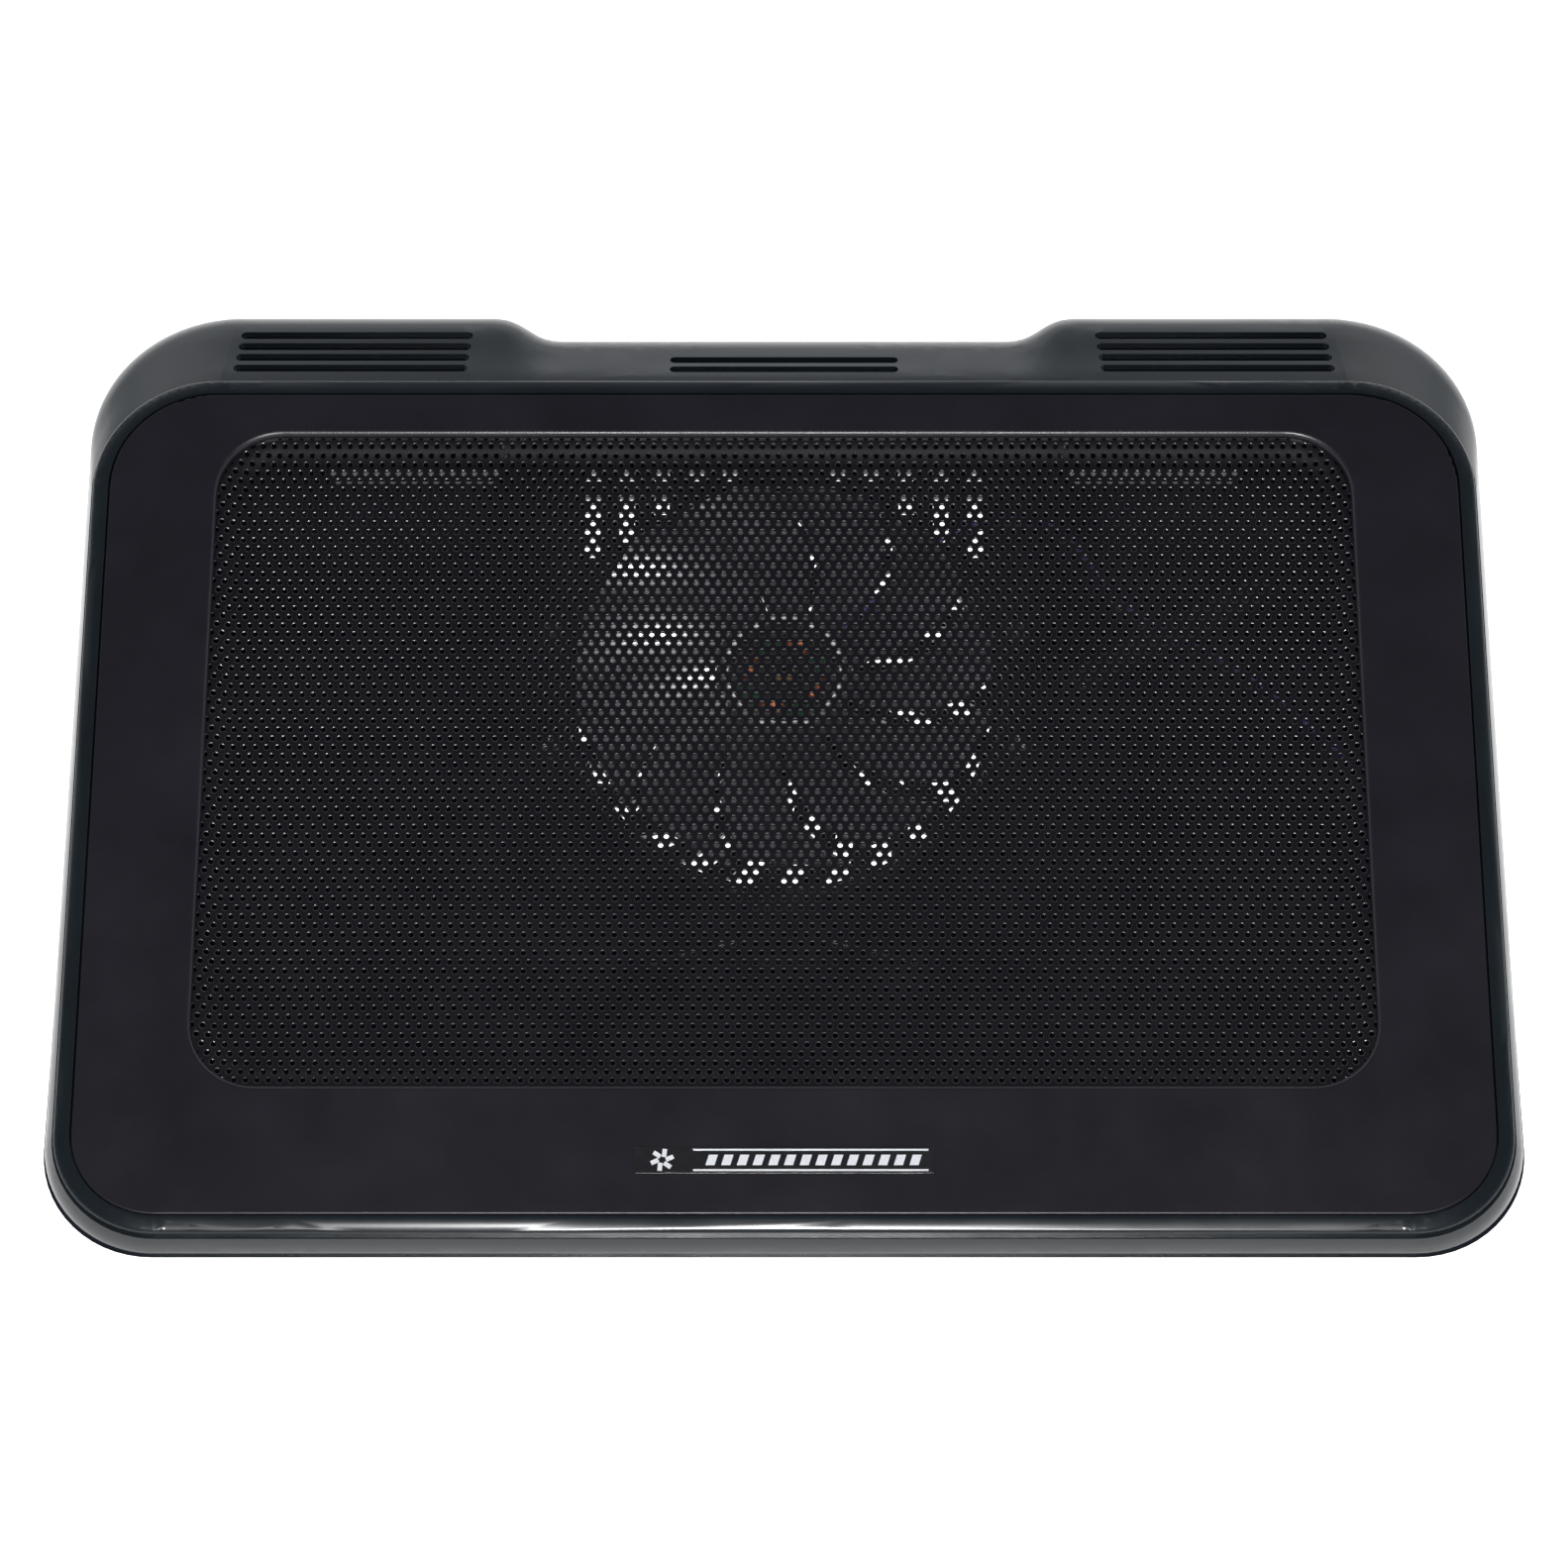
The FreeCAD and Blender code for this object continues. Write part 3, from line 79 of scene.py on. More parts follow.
# Fan frame: z along the shaft, from the underside of the fan's struts.
FAN_HEIGHT_OF_POINT = 13.6 * MM    # the joint's point is on top of the hub
_fan_origin = FAN_POINT - FAN_AXIS * FAN_HEIGHT_OF_POINT
FAN = Matrix.Translation(_fan_origin) @ Matrix.Rotation(TILT, 4, "X")


# ---------------------------------------------------------------- node helpers
class Shader:
    """A small wrapper that builds one Principled material."""

    def __init__(self, name):
        self.material = bpy.data.materials.new(name)
        self.material.use_nodes = True
        self.tree = self.material.node_tree
        self.principled = self.tree.nodes["Principled BSDF"]
        self.coords = self.tree.nodes.new("ShaderNodeTexCoord").outputs["Object"]

    def set(self, **values):
        for name, value in values.items():
            self.principled.inputs[name.replace("_", " ")].default_value = value

    def link(self, source, target):
        self.tree.links.new(source, target)

    def noise(self, scale, detail=2.0, roughness=0.5, stretch=None):
        node = self.tree.nodes.new("ShaderNodeTexNoise")
        node.inputs["Scale"].default_value = scale
        node.inputs["Detail"].default_value = detail
        node.inputs["Roughness"].default_value = roughness
        vector = self.coords
        if stretch:
            mapping = self.tree.nodes.new("ShaderNodeMapping")
            mapping.inputs["Scale"].default_value = stretch
            self.link(self.coords, mapping.inputs["Vector"])
            vector = mapping.outputs["Vector"]
        self.link(vector, node.inputs["Vector"])
        return node.outputs["Fac"]

    def ramp(self, source, low, high, start=0.3, end=0.7):
        """Colour ramp from low to high; low and high are grey levels or RGB."""
        node = self.tree.nodes.new("ShaderNodeValToRGB")
        for element, place, value in zip(node.color_ramp.elements, (start, end), (low, high)):
            rgb = (value, value, value) if isinstance(value, (int, float)) else value
            element.position = place
            element.color = (*rgb, 1)
        self.link(source, node.inputs["Fac"])
        return node.outputs["Color"]

    def colour(self, source, low, high, start=0.3, end=0.7):
        self.link(self.ramp(source, low, high, start, end), self.principled.inputs["Base Color"])

    def rough(self, source, low, high):
        self.link(self.ramp(source, low, high), self.principled.inputs["Roughness"])

    def bump(self, layers):
        """layers: (height source, strength, distance in metres), outermost last."""
        normal = None
        for source, strength, distance in layers:
            node = self.tree.nodes.new("ShaderNodeBump")
            node.inputs["Strength"].default_value = strength
            node.inputs["Distance"].default_value = distance
            self.link(source, node.inputs["Height"])
            if normal:
                self.link(normal, node.inputs["Normal"])
            normal = node.outputs["Normal"]
        self.link(normal, self.principled.inputs["Normal"])


def shade(low, factor=1.35):
    return low, tuple(min(1.0, c * factor) for c in low)


# ---------------------------------------------------------------- materials
def moulded_plastic(name, base, rough_low, rough_high, grain, grain_depth, grain_strength):
    """Black moulded plastic: spark-eroded grain, faint cloudiness and handling marks."""
    shader = Shader(name)
    cloud = shader.noise(38.0, 4.0, 0.6)
    fine = shader.noise(grain, 2.0, 0.55)
    low, high = shade(base)
    shader.colour(cloud, low, high)
    shader.rough(cloud, rough_low, rough_high)
    ripple = shader.noise(160.0, 2.0)
    shader.bump([(ripple, 0.05, 0.05 * MM), (fine, grain_strength, grain_depth)])
    shader.set(IOR=1.45)
    return shader.material


def powder_coat(name):
    shader = Shader(name)
    fine = shader.noise(5200.0, 2.0)
    cloud = shader.noise(60.0, 3.0)
    shader.colour(cloud, (0.0026, 0.0020, 0.0034), (0.0036, 0.0028, 0.0044))
    shader.rough(cloud, 0.28, 0.32)
    shader.set(IOR=1.45)
    shader.bump([(fine, 0.25, 0.02 * MM)])
    return shader.material


def metal(name, low, high, rough_low, rough_high, grain=900.0, stretch=(1.0, 1.0, 1.0),
          strength=0.15):
    shader = Shader(name)
    streak = shader.noise(grain, 3.0, 0.6, stretch)
    shader.colour(streak, low, high)
    shader.rough(streak, rough_low, rough_high)
    shader.bump([(streak, strength, 0.01 * MM)])
    shader.set(Metallic=1.0)
    return shader.material


def clear_smoke(name):
    """Smoke-tinted clear moulding; the thin roof of the hub is nearly colourless."""
    shader = Shader(name)
    tree = shader.tree
    offset = tree.nodes.new("ShaderNodeVectorMath")
    offset.operation = "SUBTRACT"
    shader.link(shader.coords, offset.inputs[0])
    offset.inputs[1].default_value = FAN_POINT
    across = tree.nodes.new("ShaderNodeVectorMath")
    across.operation = "CROSS_PRODUCT"
    shader.link(offset.outputs["Vector"], across.inputs[0])
    across.inputs[1].default_value = FAN_AXIS
    radius = tree.nodes.new("ShaderNodeVectorMath")
    radius.operation = "LENGTH"
    shader.link(across.outputs["Vector"], radius.inputs[0])
    share = tree.nodes.new("ShaderNodeMath")
    share.operation = "MULTIPLY"
    share.inputs[1].default_value = 20.0       # a radius of 50 mm becomes 1
    shader.link(radius.outputs["Value"], share.inputs[0])
    hub, blades = 0.300, 0.318                 # shares at 15.0 mm and at 15.9 mm
    shader.colour(share.outputs["Value"], (0.02, 0.02, 0.02), (0.10, 0.11, 0.12), hub, blades)
    for socket, at_hub, at_blades in (
        ("Transmission Weight", 0.0, 0.72),
        ("Alpha", 0.07, 1.0),
    ):
        level = shader.ramp(share.outputs["Value"], at_hub, at_blades, hub, blades)
        shader.link(level, shader.principled.inputs[socket])
    flow = shader.noise(90.0, 3.0, 0.6)
    shader.rough(flow, 0.33, 0.38)
    shader.bump([(flow, 0.1, 0.05 * MM)])
    shader.set(IOR=1.5, Specular_IOR_Level=1.0)
    shader.set(Coat_Weight=1.0, Coat_Roughness=0.34, Coat_IOR=2.3)
    return shader.material


def silver_paint(name):
    shader = Shader(name)
    fleck = shader.noise(3000.0, 2.0)
    shader.colour(fleck, (0.66, 0.67, 0.70), (0.80, 0.81, 0.83))
    shader.rough(fleck, 0.28, 0.42)
    shader.bump([(fleck, 0.1, 0.01 * MM)])
    shader.set(Metallic=0.35)
    return shader.material


def plain_plastic(name, base, rough_low, rough_high, scale=300.0):
    shader = Shader(name)
    mottle = shader.noise(scale, 3.0)
    low, high = shade(base, 1.25)
    shader.colour(mottle, low, high)
    shader.rough(mottle, rough_low, rough_high)
    shader.bump([(mottle, 0.08, 0.03 * MM)])
    return shader.material


def rubber(name):
    shader = Shader(name)
    fine = shader.noise(1800.0, 2.0)
    dust = shader.noise(220.0, 4.0, 0.7)
    shader.colour(dust, (0.018, 0.018, 0.018), (0.05, 0.049, 0.047), 0.45, 0.75)
    shader.rough(dust, 0.72, 0.9)
    shader.bump([(fine, 0.4, 0.05 * MM)])
    return shader.material


def circuit_board(name):
    """Green solder mask with lighter copper traces showing through."""
    shader = Shader(name)
    brick = shader.tree.nodes.new("ShaderNodeTexBrick")
    shader.link(shader.coords, brick.inputs["Vector"])
    brick.inputs["Scale"].default_value = 420.0
    brick.inputs["Mortar Size"].default_value = 0.05
    brick.inputs["Color1"].default_value = (0.010, 0.075, 0.030, 1)
    brick.inputs["Color2"].default_value = (0.014, 0.095, 0.038, 1)
    brick.inputs["Mortar"].default_value = (0.045, 0.19, 0.07, 1)
    shader.link(brick.outputs["Color"], shader.principled.inputs["Base Color"])
    fine = shader.noise(900.0)
    shader.rough(fine, 0.22, 0.38)
    shader.bump([(brick.outputs["Fac"], 0.2, 0.03 * MM)])
    return shader.material


def copper_wire(name):
    shader = Shader(name)
    tone = shader.noise(800.0, 3.0)
    shader.colour(tone, (0.80, 0.25, 0.11), (0.95, 0.38, 0.18))
    shader.rough(tone, 0.36, 0.50)
    shader.bump([(tone, 0.1, 0.02 * MM)])
    shader.set(Metallic=1.0, Coat_Weight=0.3, Coat_Roughness=0.2)
    return shader.material


MATERIALS = {
    "bezel": moulded_plastic(
        "bezel_matt_black", (0.0056, 0.0050, 0.0076), 0.30, 0.36, 2400.0, 0.05 * MM, 0.5),
    "case": moulded_plastic(
        "case_satin_black", (0.0045, 0.0068, 0.0086), 0.20, 0.26, 3000.0, 0.02 * MM, 0.2),
    "shell": moulded_plastic(
        "shell_satin_black", (0.0050, 0.0068, 0.0098), 0.25, 0.32, 2800.0, 0.03 * MM, 0.2),
    "fan_black": moulded_plastic(
        "fan_satin_black", (0.0110, 0.0110, 0.0120), 0.30, 0.42, 2600.0, 0.02 * MM, 0.2),
    "mesh": powder_coat("mesh_powder_coat"),
    "plate": plain_plastic("name_plate_gloss_black", (0.010, 0.010, 0.011), 0.12, 0.2),
    "trim": silver_paint("name_plate_silver"),
    "screw": metal("zinc_plated_screw", (0.24, 0.24, 0.25), (0.42, 0.42, 0.43), 0.25, 0.45),
    # The yoke's near-white diffuse colour is partly its pale zinc finish and partly a painted
    # highlight, which keeps its lip ring bright under any light.
    "yoke": plain_plastic("pale_zinc_yoke_painted_highlight", (0.78, 0.80, 0.78), 0.3, 0.42, 900.0),
    "shaft": metal(
        "ground_steel_shaft", (0.55, 0.55, 0.57), (0.68, 0.68, 0.70), 0.12, 0.22, 2500.0),
    "bush": metal(
        "sintered_bronze", (0.42, 0.24, 0.10), (0.62, 0.38, 0.17), 0.35, 0.55, 2200.0,
        strength=0.4),
    "core": metal(
        "laminated_iron", (0.16, 0.16, 0.17), (0.26, 0.26, 0.27), 0.4, 0.55, 2600.0,
        (0.05, 0.05, 1.0), 0.4),
    "socket": metal(
        "nickel_plated_steel", (0.60, 0.60, 0.60), (0.74, 0.73, 0.71), 0.16, 0.3, 700.0),
    "gold": metal("gold_plated_contact", (0.75, 0.52, 0.20), (0.88, 0.64, 0.28), 0.15, 0.25),
    "magnet": plain_plastic("bonded_ferrite", (0.030, 0.027, 0.026), 0.5, 0.7, 1500.0),
    "nylon": plain_plastic("natural_nylon", (0.62, 0.61, 0.56), 0.35, 0.5),
    "bobbin": plain_plastic("bobbin_black", (0.012, 0.012, 0.013), 0.4, 0.55),
    "socket_black": plain_plastic("socket_insulator_black", (0.012, 0.012, 0.012), 0.4, 0.55),
    "slider": plain_plastic("switch_slider_black", (0.014, 0.014, 0.015), 0.42, 0.58, 1200.0),
    "lead_blue": plain_plastic("lead_sleeve_blue", (0.13, 0.13, 0.36), 0.28, 0.4, 500.0),
    "lead_dark": plain_plastic("lead_sleeve_dark", (0.05, 0.05, 0.06), 0.28, 0.4, 500.0),
    "clip": plain_plastic("clip_grey_satin", (0.055, 0.060, 0.062), 0.3, 0.42, 500.0),
    "board": circuit_board("board_solder_mask"),
    "copper": copper_wire("enamelled_copper"),
    "rubber": rubber("foot_rubber"),
    "blade": clear_smoke("rotor_clear_smoke"),
}

NODE_MATERIALS = {
    "top_cover": "case", "top_bezel": "bezel", "bottom_shell": "shell", "air_duct": "shell",
    "mesh_panel": "mesh",
    "name_plate": "plate", "name_plate_trim": "trim",
    "shell_screws": "screw", "fan_screws": "screw", "board_screws": "screw",
    "fan_frame": "fan_black", "lead_clip": "clip", "fan_rotor": "blade",
    "rotor_yoke": "yoke", "rotor_magnet": "magnet", "fan_shaft": "shaft", "shaft_retainer": "nylon",
    "bearing_bush": "bush", "stator_core": "core",
    "stator_bobbin": "bobbin", "stator_coils": "copper",
    "fan_circuit_board": "board", "port_board": "board",
    "lead_supply": "lead_blue", "lead_return": "lead_dark",
    "usb_socket_shell": "socket", "power_inlet_shell": "socket", "switch_body": "socket",
    "usb_socket_tongue": "socket_black", "power_inlet_tongue": "socket_black",
    "switch_slider": "slider",
    "foot_front_left": "rubber", "foot_front_right": "rubber",
    "foot_rear_left": "rubber", "foot_rear_right": "rubber",
}


def dress_cad_nodes():
    for name, key in NODE_MATERIALS.items():
        slots = NODES[name].data.materials
        for index in range(len(slots)):
            slots[index] = MATERIALS[key]


# ---------------------------------------------------------------- new pieces
def add_mesh(name, vertices, faces, material, body, place=None, smooth=False):
    """A new piece from vertices and faces, riding on a CAD body."""
    data = bpy.data.meshes.new(name)
    data.from_pydata([tuple(v) for v in vertices], [], [tuple(f) for f in faces])
    if place is not None:
        data.transform(place)
    data.materials.append(MATERIALS[material])
    data.validate()
    data.update()
    if smooth:
        data.polygons.foreach_set("use_smooth", [True] * len(data.polygons))
    piece = bpy.data.objects.new(name, data)
    bpy.context.scene.collection.objects.link(piece)
    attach(piece, body)
    return piece


HOLE_PITCH = 2.8 * MM
ROW_PITCH = HOLE_PITCH * math.sqrt(3) / 2
HOLE_RADIUS = 0.69 * MM
HOLE_SIDES = 12
LIP_WIDTH = 0.22 * MM      # rolled upper edge of each punched hole
LIP_DEPTH = 0.11 * MM
CORNER_RADIUS = 16.5 * MM
MESH_SINK = 1.3 * MM       # the flat part lies this far below the flange
MESH_RISE = 7.0 * MM       # width of the curved border
STRIPS = 5
SHEET_SHARE = 0.8          # the perforated sheet is this much of the CAD sheet's thickness
HOLE_MARGIN = 1.5 * MM     # holes go on this far under the bezel


def corner_distance(x, y, half_x, half_y, radius):
    """Distance inwards from a rounded rectangle's edge (negative outside it)."""
    dx = np.abs(x) - (half_x - radius)
    dy = np.abs(y) - (half_y - radius)
    outside = np.hypot(np.maximum(dx, 0), np.maximum(dy, 0))
    inside = np.minimum(np.maximum(dx, dy), 0)
    return radius - outside - inside


def sheet_height(x, y):
    """Height of the sheet's upper face in the panel frame."""
    half_x = SHEET_HALF_WIDTH - FLANGE
    half_y = SHEET_HALF_LENGTH - FLANGE
    share = np.clip(corner_distance(x, y, half_x, half_y, CORNER_RADIUS) / MESH_RISE, 0, 1)
    return -MESH_SINK * np.sin(share * math.pi / 2) ** 2


def cell_outline():
    """Six corners and six edge middles of one cell, and the twelve points of its hole."""
    angles = np.radians(np.arange(HOLE_SIDES) * 30.0)
    corner = HOLE_PITCH / math.sqrt(3)
    reach = np.where(np.arange(HOLE_SIDES) % 2 == 0, HOLE_PITCH / 2, corner)
    border = np.stack([reach * np.cos(angles), reach * np.sin(angles)], 1)
    hole = HOLE_RADIUS * np.stack([np.cos(angles), np.sin(angles)], 1)
    return border, hole


def lattice_centres():
    half_x = SHEET_HALF_WIDTH - 0.2 * MM
    half_y = SHEET_HALF_LENGTH - 0.2 * MM
    centres = []
    rows = int(half_y / ROW_PITCH) + 1
    columns = int(half_x / HOLE_PITCH) + 1
    for row in range(-rows, rows + 1):
        shift = 0.5 * (row % 2)
        for column in range(-columns, columns + 1):
            centres.append(((column + shift) * HOLE_PITCH, row * ROW_PITCH))
    centres = np.array(centres)
    inward = corner_distance(centres[:, 0], centres[:, 1], half_x, half_y, CORNER_RADIUS)
    return centres[inward > HOLE_PITCH * 0.6]


def perforated_strip(centres):
    """Closed sheet of cells: a round hole in each cell inside the opening, none in the flange."""
    border, hole = cell_outline()
    sides = HOLE_SIDES
    open_x = SHEET_HALF_WIDTH - FLANGE + HOLE_MARGIN
    open_y = SHEET_HALF_LENGTH - FLANGE + HOLE_MARGIN
    radius = CORNER_RADIUS + HOLE_MARGIN
    inward = corner_distance(centres[:, 0], centres[:, 1], open_x, open_y, radius)
    holed = inward > 0
    count = len(centres)
    rim = (centres[:, None, :] + border[None]).reshape(-1, 2)
    keys = np.round(rim / (0.01 * MM)).astype(np.int64)
    unique, first, inverse = np.unique(keys, axis=0, return_index=True, return_inverse=True)
    inverse = inverse.reshape(count, sides)
    rim_points = rim[first]
    open_cells = np.where(holed)[0]
    shut_cells = np.where(~holed)[0]
    lips = hole * (HOLE_RADIUS + LIP_WIDTH) / HOLE_RADIUS
    hole_points = (centres[open_cells][:, None, :] + hole[None]).reshape(-1, 2)
    lip_points = (centres[open_cells][:, None, :] + lips[None]).reshape(-1, 2)
    rims = len(rim_points)
    flat = np.vstack([rim_points, hole_points])
    layer = len(flat)
    top_z = sheet_height(flat[:, 0], flat[:, 1])
    low_z = top_z - SHEET_THICK * SHEET_SHARE
    top_z[rims:] -= LIP_DEPTH
    lip_z = sheet_height(lip_points[:, 0], lip_points[:, 1])
    vertices = np.vstack([
        np.column_stack([flat, top_z]),
        np.column_stack([flat, low_z]),
        np.column_stack([lip_points, lip_z]),
    ])
    # a, b: along the cell's border; c, d: round the hole; e, f: round the lip's outer edge.
    ahead = (np.arange(sides) + 1) % sides
    a = inverse[open_cells]
    b = a[:, ahead]
    c = rims + np.arange(len(open_cells))[:, None] * sides + np.arange(sides)[None]
    d = c[:, ahead]
    e = c - rims + 2 * layer
    f = e[:, ahead]
    faces = [np.stack([a, b, f, e], 2).reshape(-1, 4)]
    faces.append(np.stack([e, f, d, c], 2).reshape(-1, 4))
    faces.append(np.stack([a, c, d, b], 2).reshape(-1, 4) + layer)
    faces.append(np.stack([c, d, d + layer, c + layer], 2).reshape(-1, 4))
    # Border walls: cell edges used once. A dict keeps them in the order they were found.
    used = {}
    for cell in inverse:
        for start, end in zip(cell, cell[ahead]):
            if (end, start) in used:
                del used[(end, start)]
            else:
                used[(start, end)] = True
    walls = [(start, start + layer, end + layer, end) for start, end in used]
    polygons = [tuple(int(v) for v in face) for block in faces for face in block]
    polygons += [tuple(int(v) for v in wall) for wall in walls]
    for cell in inverse[shut_cells]:
        polygons.append(tuple(int(v) for v in cell))
        polygons.append(tuple(int(v) + layer for v in reversed(cell)))
    return vertices, polygons


def make_mesh_sheet():
    centres = lattice_centres()
    limits = np.linspace(-SHEET_HALF_WIDTH, SHEET_HALF_WIDTH, STRIPS + 1)
    for index in range(STRIPS):
        chosen = (centres[:, 0] >= limits[index]) & (centres[:, 0] < limits[index + 1])
        vertices, faces = perforated_strip(centres[chosen])
        strip = add_mesh(f"mesh_sheet_{index + 1}", vertices, faces, "mesh", "base",
                         PANEL)
        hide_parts("mesh_panel")


def tube(path, radius, sides):
    """Round tube along a list of points; returns vertices and faces."""
    points = [Vector(p) for p in path]
    vertices = []
    faces = []
    side = None
    for index, point in enumerate(points):
        before = points[max(index - 1, 0)]
        after = points[min(index + 1, len(points) - 1)]
        along = (after - before).normalized()
        if side is None:
            side = along.orthogonal().normalized()
        side = (side - along * side.dot(along)).normalized()
        other = along.cross(side)
        for step in range(sides):
            a = 2 * math.pi * step / sides
            vertices.append(point + (side * math.cos(a) + other * math.sin(a)) * radius)
    for index in range(len(points) - 1):
        for step in range(sides):
            here = index * sides + step
            beside = index * sides + (step + 1) % sides
            faces.append((here, beside, beside + sides, here + sides))
    faces.append(tuple(reversed(range(sides))))
    last = (len(points) - 1) * sides
    faces.append(tuple(range(last, last + sides)))
    return vertices, faces


POLES = 4
POLE_TURN = 69.0               # angle of the first stator arm
COIL_START = 7.68 * MM         # first and last turn, from the shaft
COIL_END = 10.32 * MM
COIL_TURNS = 6
COIL_STEPS = 24                # points on each turn
COIL_WIRE = 0.23 * MM
COIL_HALF_WIDTH = 3.24 * MM
COIL_HALF_HEIGHT = 2.72 * MM
COIL_MIDDLE = 6.97 * MM


def rounded_loop(angle, half_width, half_height):
    """Point of a rounded rectangular loop at one angle."""
    cosine, sine = math.cos(angle), math.sin(angle)
    power = 0.45
    across = math.copysign(abs(cosine) ** power, cosine) * half_width
    up = math.copysign(abs(sine) ** power, sine) * half_height
    return across, up


def make_coils():
    for pole in range(POLES):
        turn = Matrix.Rotation(math.radians(POLE_TURN + 90 * pole), 4, "Z")
        vertices = []
        faces = []
        for layer, shrink in enumerate((0.0, 0.5 * MM)):
            path = []
            steps = COIL_TURNS * COIL_STEPS
            for step in range(steps + 1):
                share = step / steps
                if layer:
                    share = 1 - share
                out = COIL_START + (COIL_END - COIL_START) * share
                angle = 2 * math.pi * step / COIL_STEPS
                half_width = COIL_HALF_WIDTH - shrink
                half_height = COIL_HALF_HEIGHT - 0.1 * shrink
                across, up = rounded_loop(angle, half_width, half_height)
                path.append((out, across, COIL_MIDDLE + up))
            start = len(vertices)
            wire_vertices, wire_faces = tube(path, COIL_WIRE, 8)
            vertices += wire_vertices
            faces += [tuple(index + start for index in face) for face in wire_faces]
        coil = add_mesh(f"stator_coil_{pole + 1}", vertices, faces, "copper", "base",
                        FAN @ turn, True)
        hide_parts("stator_coils")


def spring_contact(x_back, x_front, y, z, width, thick, facing):
    """Sheet contact that lies on a tongue and curves away from it at its tip."""
    stations = 9
    vertices = []
    for step in range(stations):
        share = step / (stations - 1)
        x = x_back + (x_front - x_back) * share
        lift = facing * thick * (0.2 + 1.6 * math.sin(math.pi * share) ** 2)
        half = width / 2 * (1 - 0.35 * share ** 3)
        for height in (z, z + lift):
            vertices.append((x, y - half, height))
            vertices.append((x, y + half, height))
    faces = [(0, 2, 3, 1)]
    for step in range(stations - 1):
        i = step * 4
        j = i + 4
        faces += [(i, i + 1, j + 1, j), (i + 2, j + 2, j + 3, i + 3)]
        faces += [(i, j, j + 2, i + 2), (i + 1, i + 3, j + 3, j + 1)]
    last = (stations - 1) * 4
    faces.append((last, last + 1, last + 3, last + 2))
    return vertices, faces


# Places across the tongue in mm, back and front end behind its tip, height above its
# underside, width, thickness, and 1 for contacts that curve up or -1 for down.
USB_CONTACTS = (
    (-3.5, -1.0, 1.0, 3.5), 8.6 * MM, 0.8 * MM, 2.65 * MM, 1.0 * MM, 0.22 * MM, -1)
INLET_CONTACTS = (
    (-1.6, -0.8, 0.0, 0.8, 1.6), 5.0 * MM, 0.5 * MM, 2.05 * MM, 0.4 * MM, 0.12 * MM, 1)


def add_contacts(name, number, tongue, row):
    """A row of contacts on one tongue; number is that of the first contact."""
    places, back, front, height, width, thick, facing = row
    low, high = tongue
    middle = (low.y + high.y) / 2
    for index, place in enumerate(places):
        vertices, faces = spring_contact(
            high.x - back, high.x - front, middle + place * MM, low.z + height,
            width, thick, facing)
        add_mesh(f"{name}_{number + index}", vertices, faces, "gold", "base")


def make_contacts():
    add_contacts("usb_contact", 1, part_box("usb_socket_tongue"), USB_CONTACTS)
    add_contacts("inlet_contact", 5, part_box("power_inlet_tongue"), INLET_CONTACTS)


# ---------------------------------------------------------------- stage, light, camera
def make_stage():
    data = bpy.data.meshes.new("floor")
    reach = 6.0
    corners = [(-reach, -reach, 0), (reach, -reach, 0), (reach, reach, 0), (-reach, reach, 0)]
    data.from_pydata(corners, [], [(0, 1, 2, 3)])
    floor = bpy.data.objects.new("floor", data)
    bpy.context.scene.collection.objects.link(floor)
    shader = Shader("floor_white")
    mottle = shader.noise(3.0, 2.0)
    shader.colour(mottle, (0.30, 0.30, 0.30), (0.32, 0.32, 0.32))
    shader.set(Roughness=0.9, Emission_Color=(1.0, 1.0, 1.0, 1.0), Emission_Strength=1.5)
    data.materials.append(shader.material)


def make_world():
    """Pale all round at low angles, dim overhead."""
    world = bpy.data.worlds.new("studio")
    world.use_nodes = True
    bpy.context.scene.world = world
    nodes = world.node_tree.nodes
    links = world.node_tree.links
    coords = nodes.new("ShaderNodeTexCoord")
    split = nodes.new("ShaderNodeSeparateXYZ")
    ramp = nodes.new("ShaderNodeValToRGB")
    links.new(coords.outputs["Generated"], split.inputs["Vector"])
    links.new(split.outputs["Z"], ramp.inputs["Fac"])
    ramp.color_ramp.elements[0].position = 0.22
    ramp.color_ramp.elements[0].color = (0.93, 0.98, 1.03, 1)
    ramp.color_ramp.elements[1].position = 0.80
    ramp.color_ramp.elements[1].color = (0.10, 0.10, 0.125, 1)
    links.new(ramp.outputs["Color"], nodes["Background"].inputs["Color"])


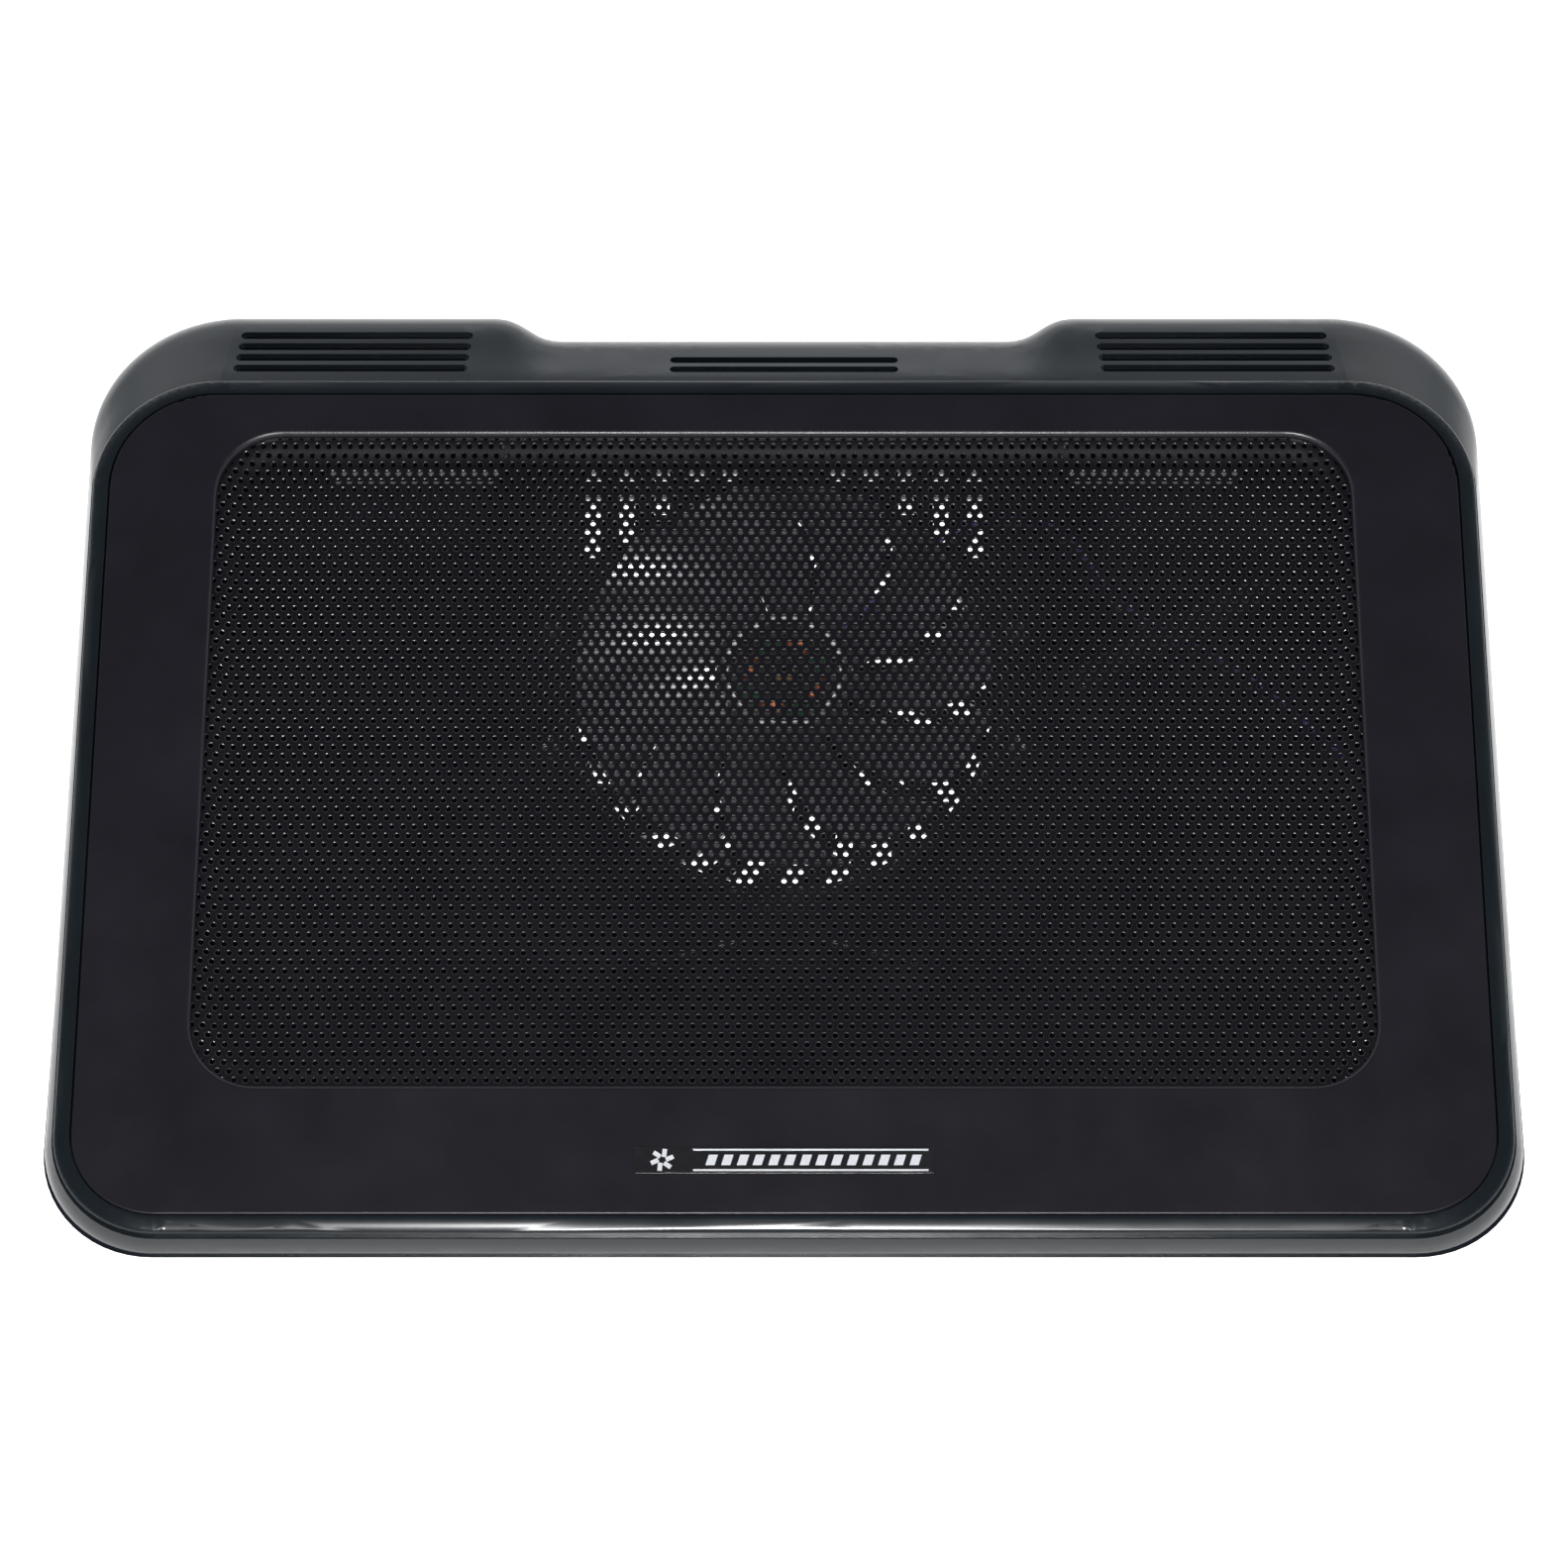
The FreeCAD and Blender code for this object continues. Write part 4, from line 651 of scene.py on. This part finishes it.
def soft_light(name, place, target, width, height, power):
    data = bpy.data.lights.new(name, "AREA")
    data.shape = "RECTANGLE"
    data.size = width
    data.size_y = height
    data.energy = power
    light = bpy.data.objects.new(name, data)
    light.location = place
    light.rotation_euler = (Vector(target) - Vector(place)).to_track_quat("-Z", "Y").to_euler()
    bpy.context.scene.collection.objects.link(light)


LENS = 116.9
SENSOR = 36.0
CAMERA_DISTANCE = 1.2736
CAMERA_ELEVATION = math.radians(58.75)
AIM_ALONG_SLOPE = 115.0 * MM       # aim point, down the slope from the rear rim
BEZEL_INSET = 4.35 * MM            # from the rim's outer edge in to the bezel


def make_camera():
    rear = Vector((0, BEZEL_HIGH.y, BEZEL_HIGH.z))
    aim = rear - Vector((0, math.cos(TILT), math.sin(TILT))) * (AIM_ALONG_SLOPE - BEZEL_INSET)
    back = Vector((0, -math.cos(CAMERA_ELEVATION), math.sin(CAMERA_ELEVATION)))
    data = bpy.data.cameras.new("camera")
    data.lens = LENS
    data.sensor_width = SENSOR
    data.clip_start = 0.05
    data.clip_end = 50.0
    camera = bpy.data.objects.new("camera", data)
    camera.location = aim + back * CAMERA_DISTANCE
    camera.rotation_euler = (math.pi / 2 - CAMERA_ELEVATION, 0, 0)
    bpy.context.scene.collection.objects.link(camera)
    bpy.context.scene.camera = camera
    return camera.location


LIGHT_TARGET = (0, 0, 0.03)
FLASH_OFFSET = Vector((0, -0.03, 0.02))    # from the camera
REAR_LIGHT_Y = 2.4


def make_lights(camera_place):
    """A flash beside the camera, a low strip behind the object and two softboxes above it."""
    soft_light("camera_flash", camera_place + FLASH_OFFSET, LIGHT_TARGET, 0.18, 0.13, 18.0)
    soft_light("rear_low_strip", (0, REAR_LIGHT_Y, 0.42), LIGHT_TARGET, 2.8, 0.32, 0.8)
    for side, name in ((-1, "rear_left_softbox"), (1, "rear_right_softbox")):
        soft_light(name, (side, REAR_LIGHT_Y, 1.10), LIGHT_TARGET, 1.2, 0.6, 1.7)


# ---------------------------------------------------------------- build
bpy.context.scene.view_settings.view_transform = "Standard"
make_stage()
make_world()
make_lights(make_camera())
dress_cad_nodes()
make_mesh_sheet()
make_coils()
make_contacts()
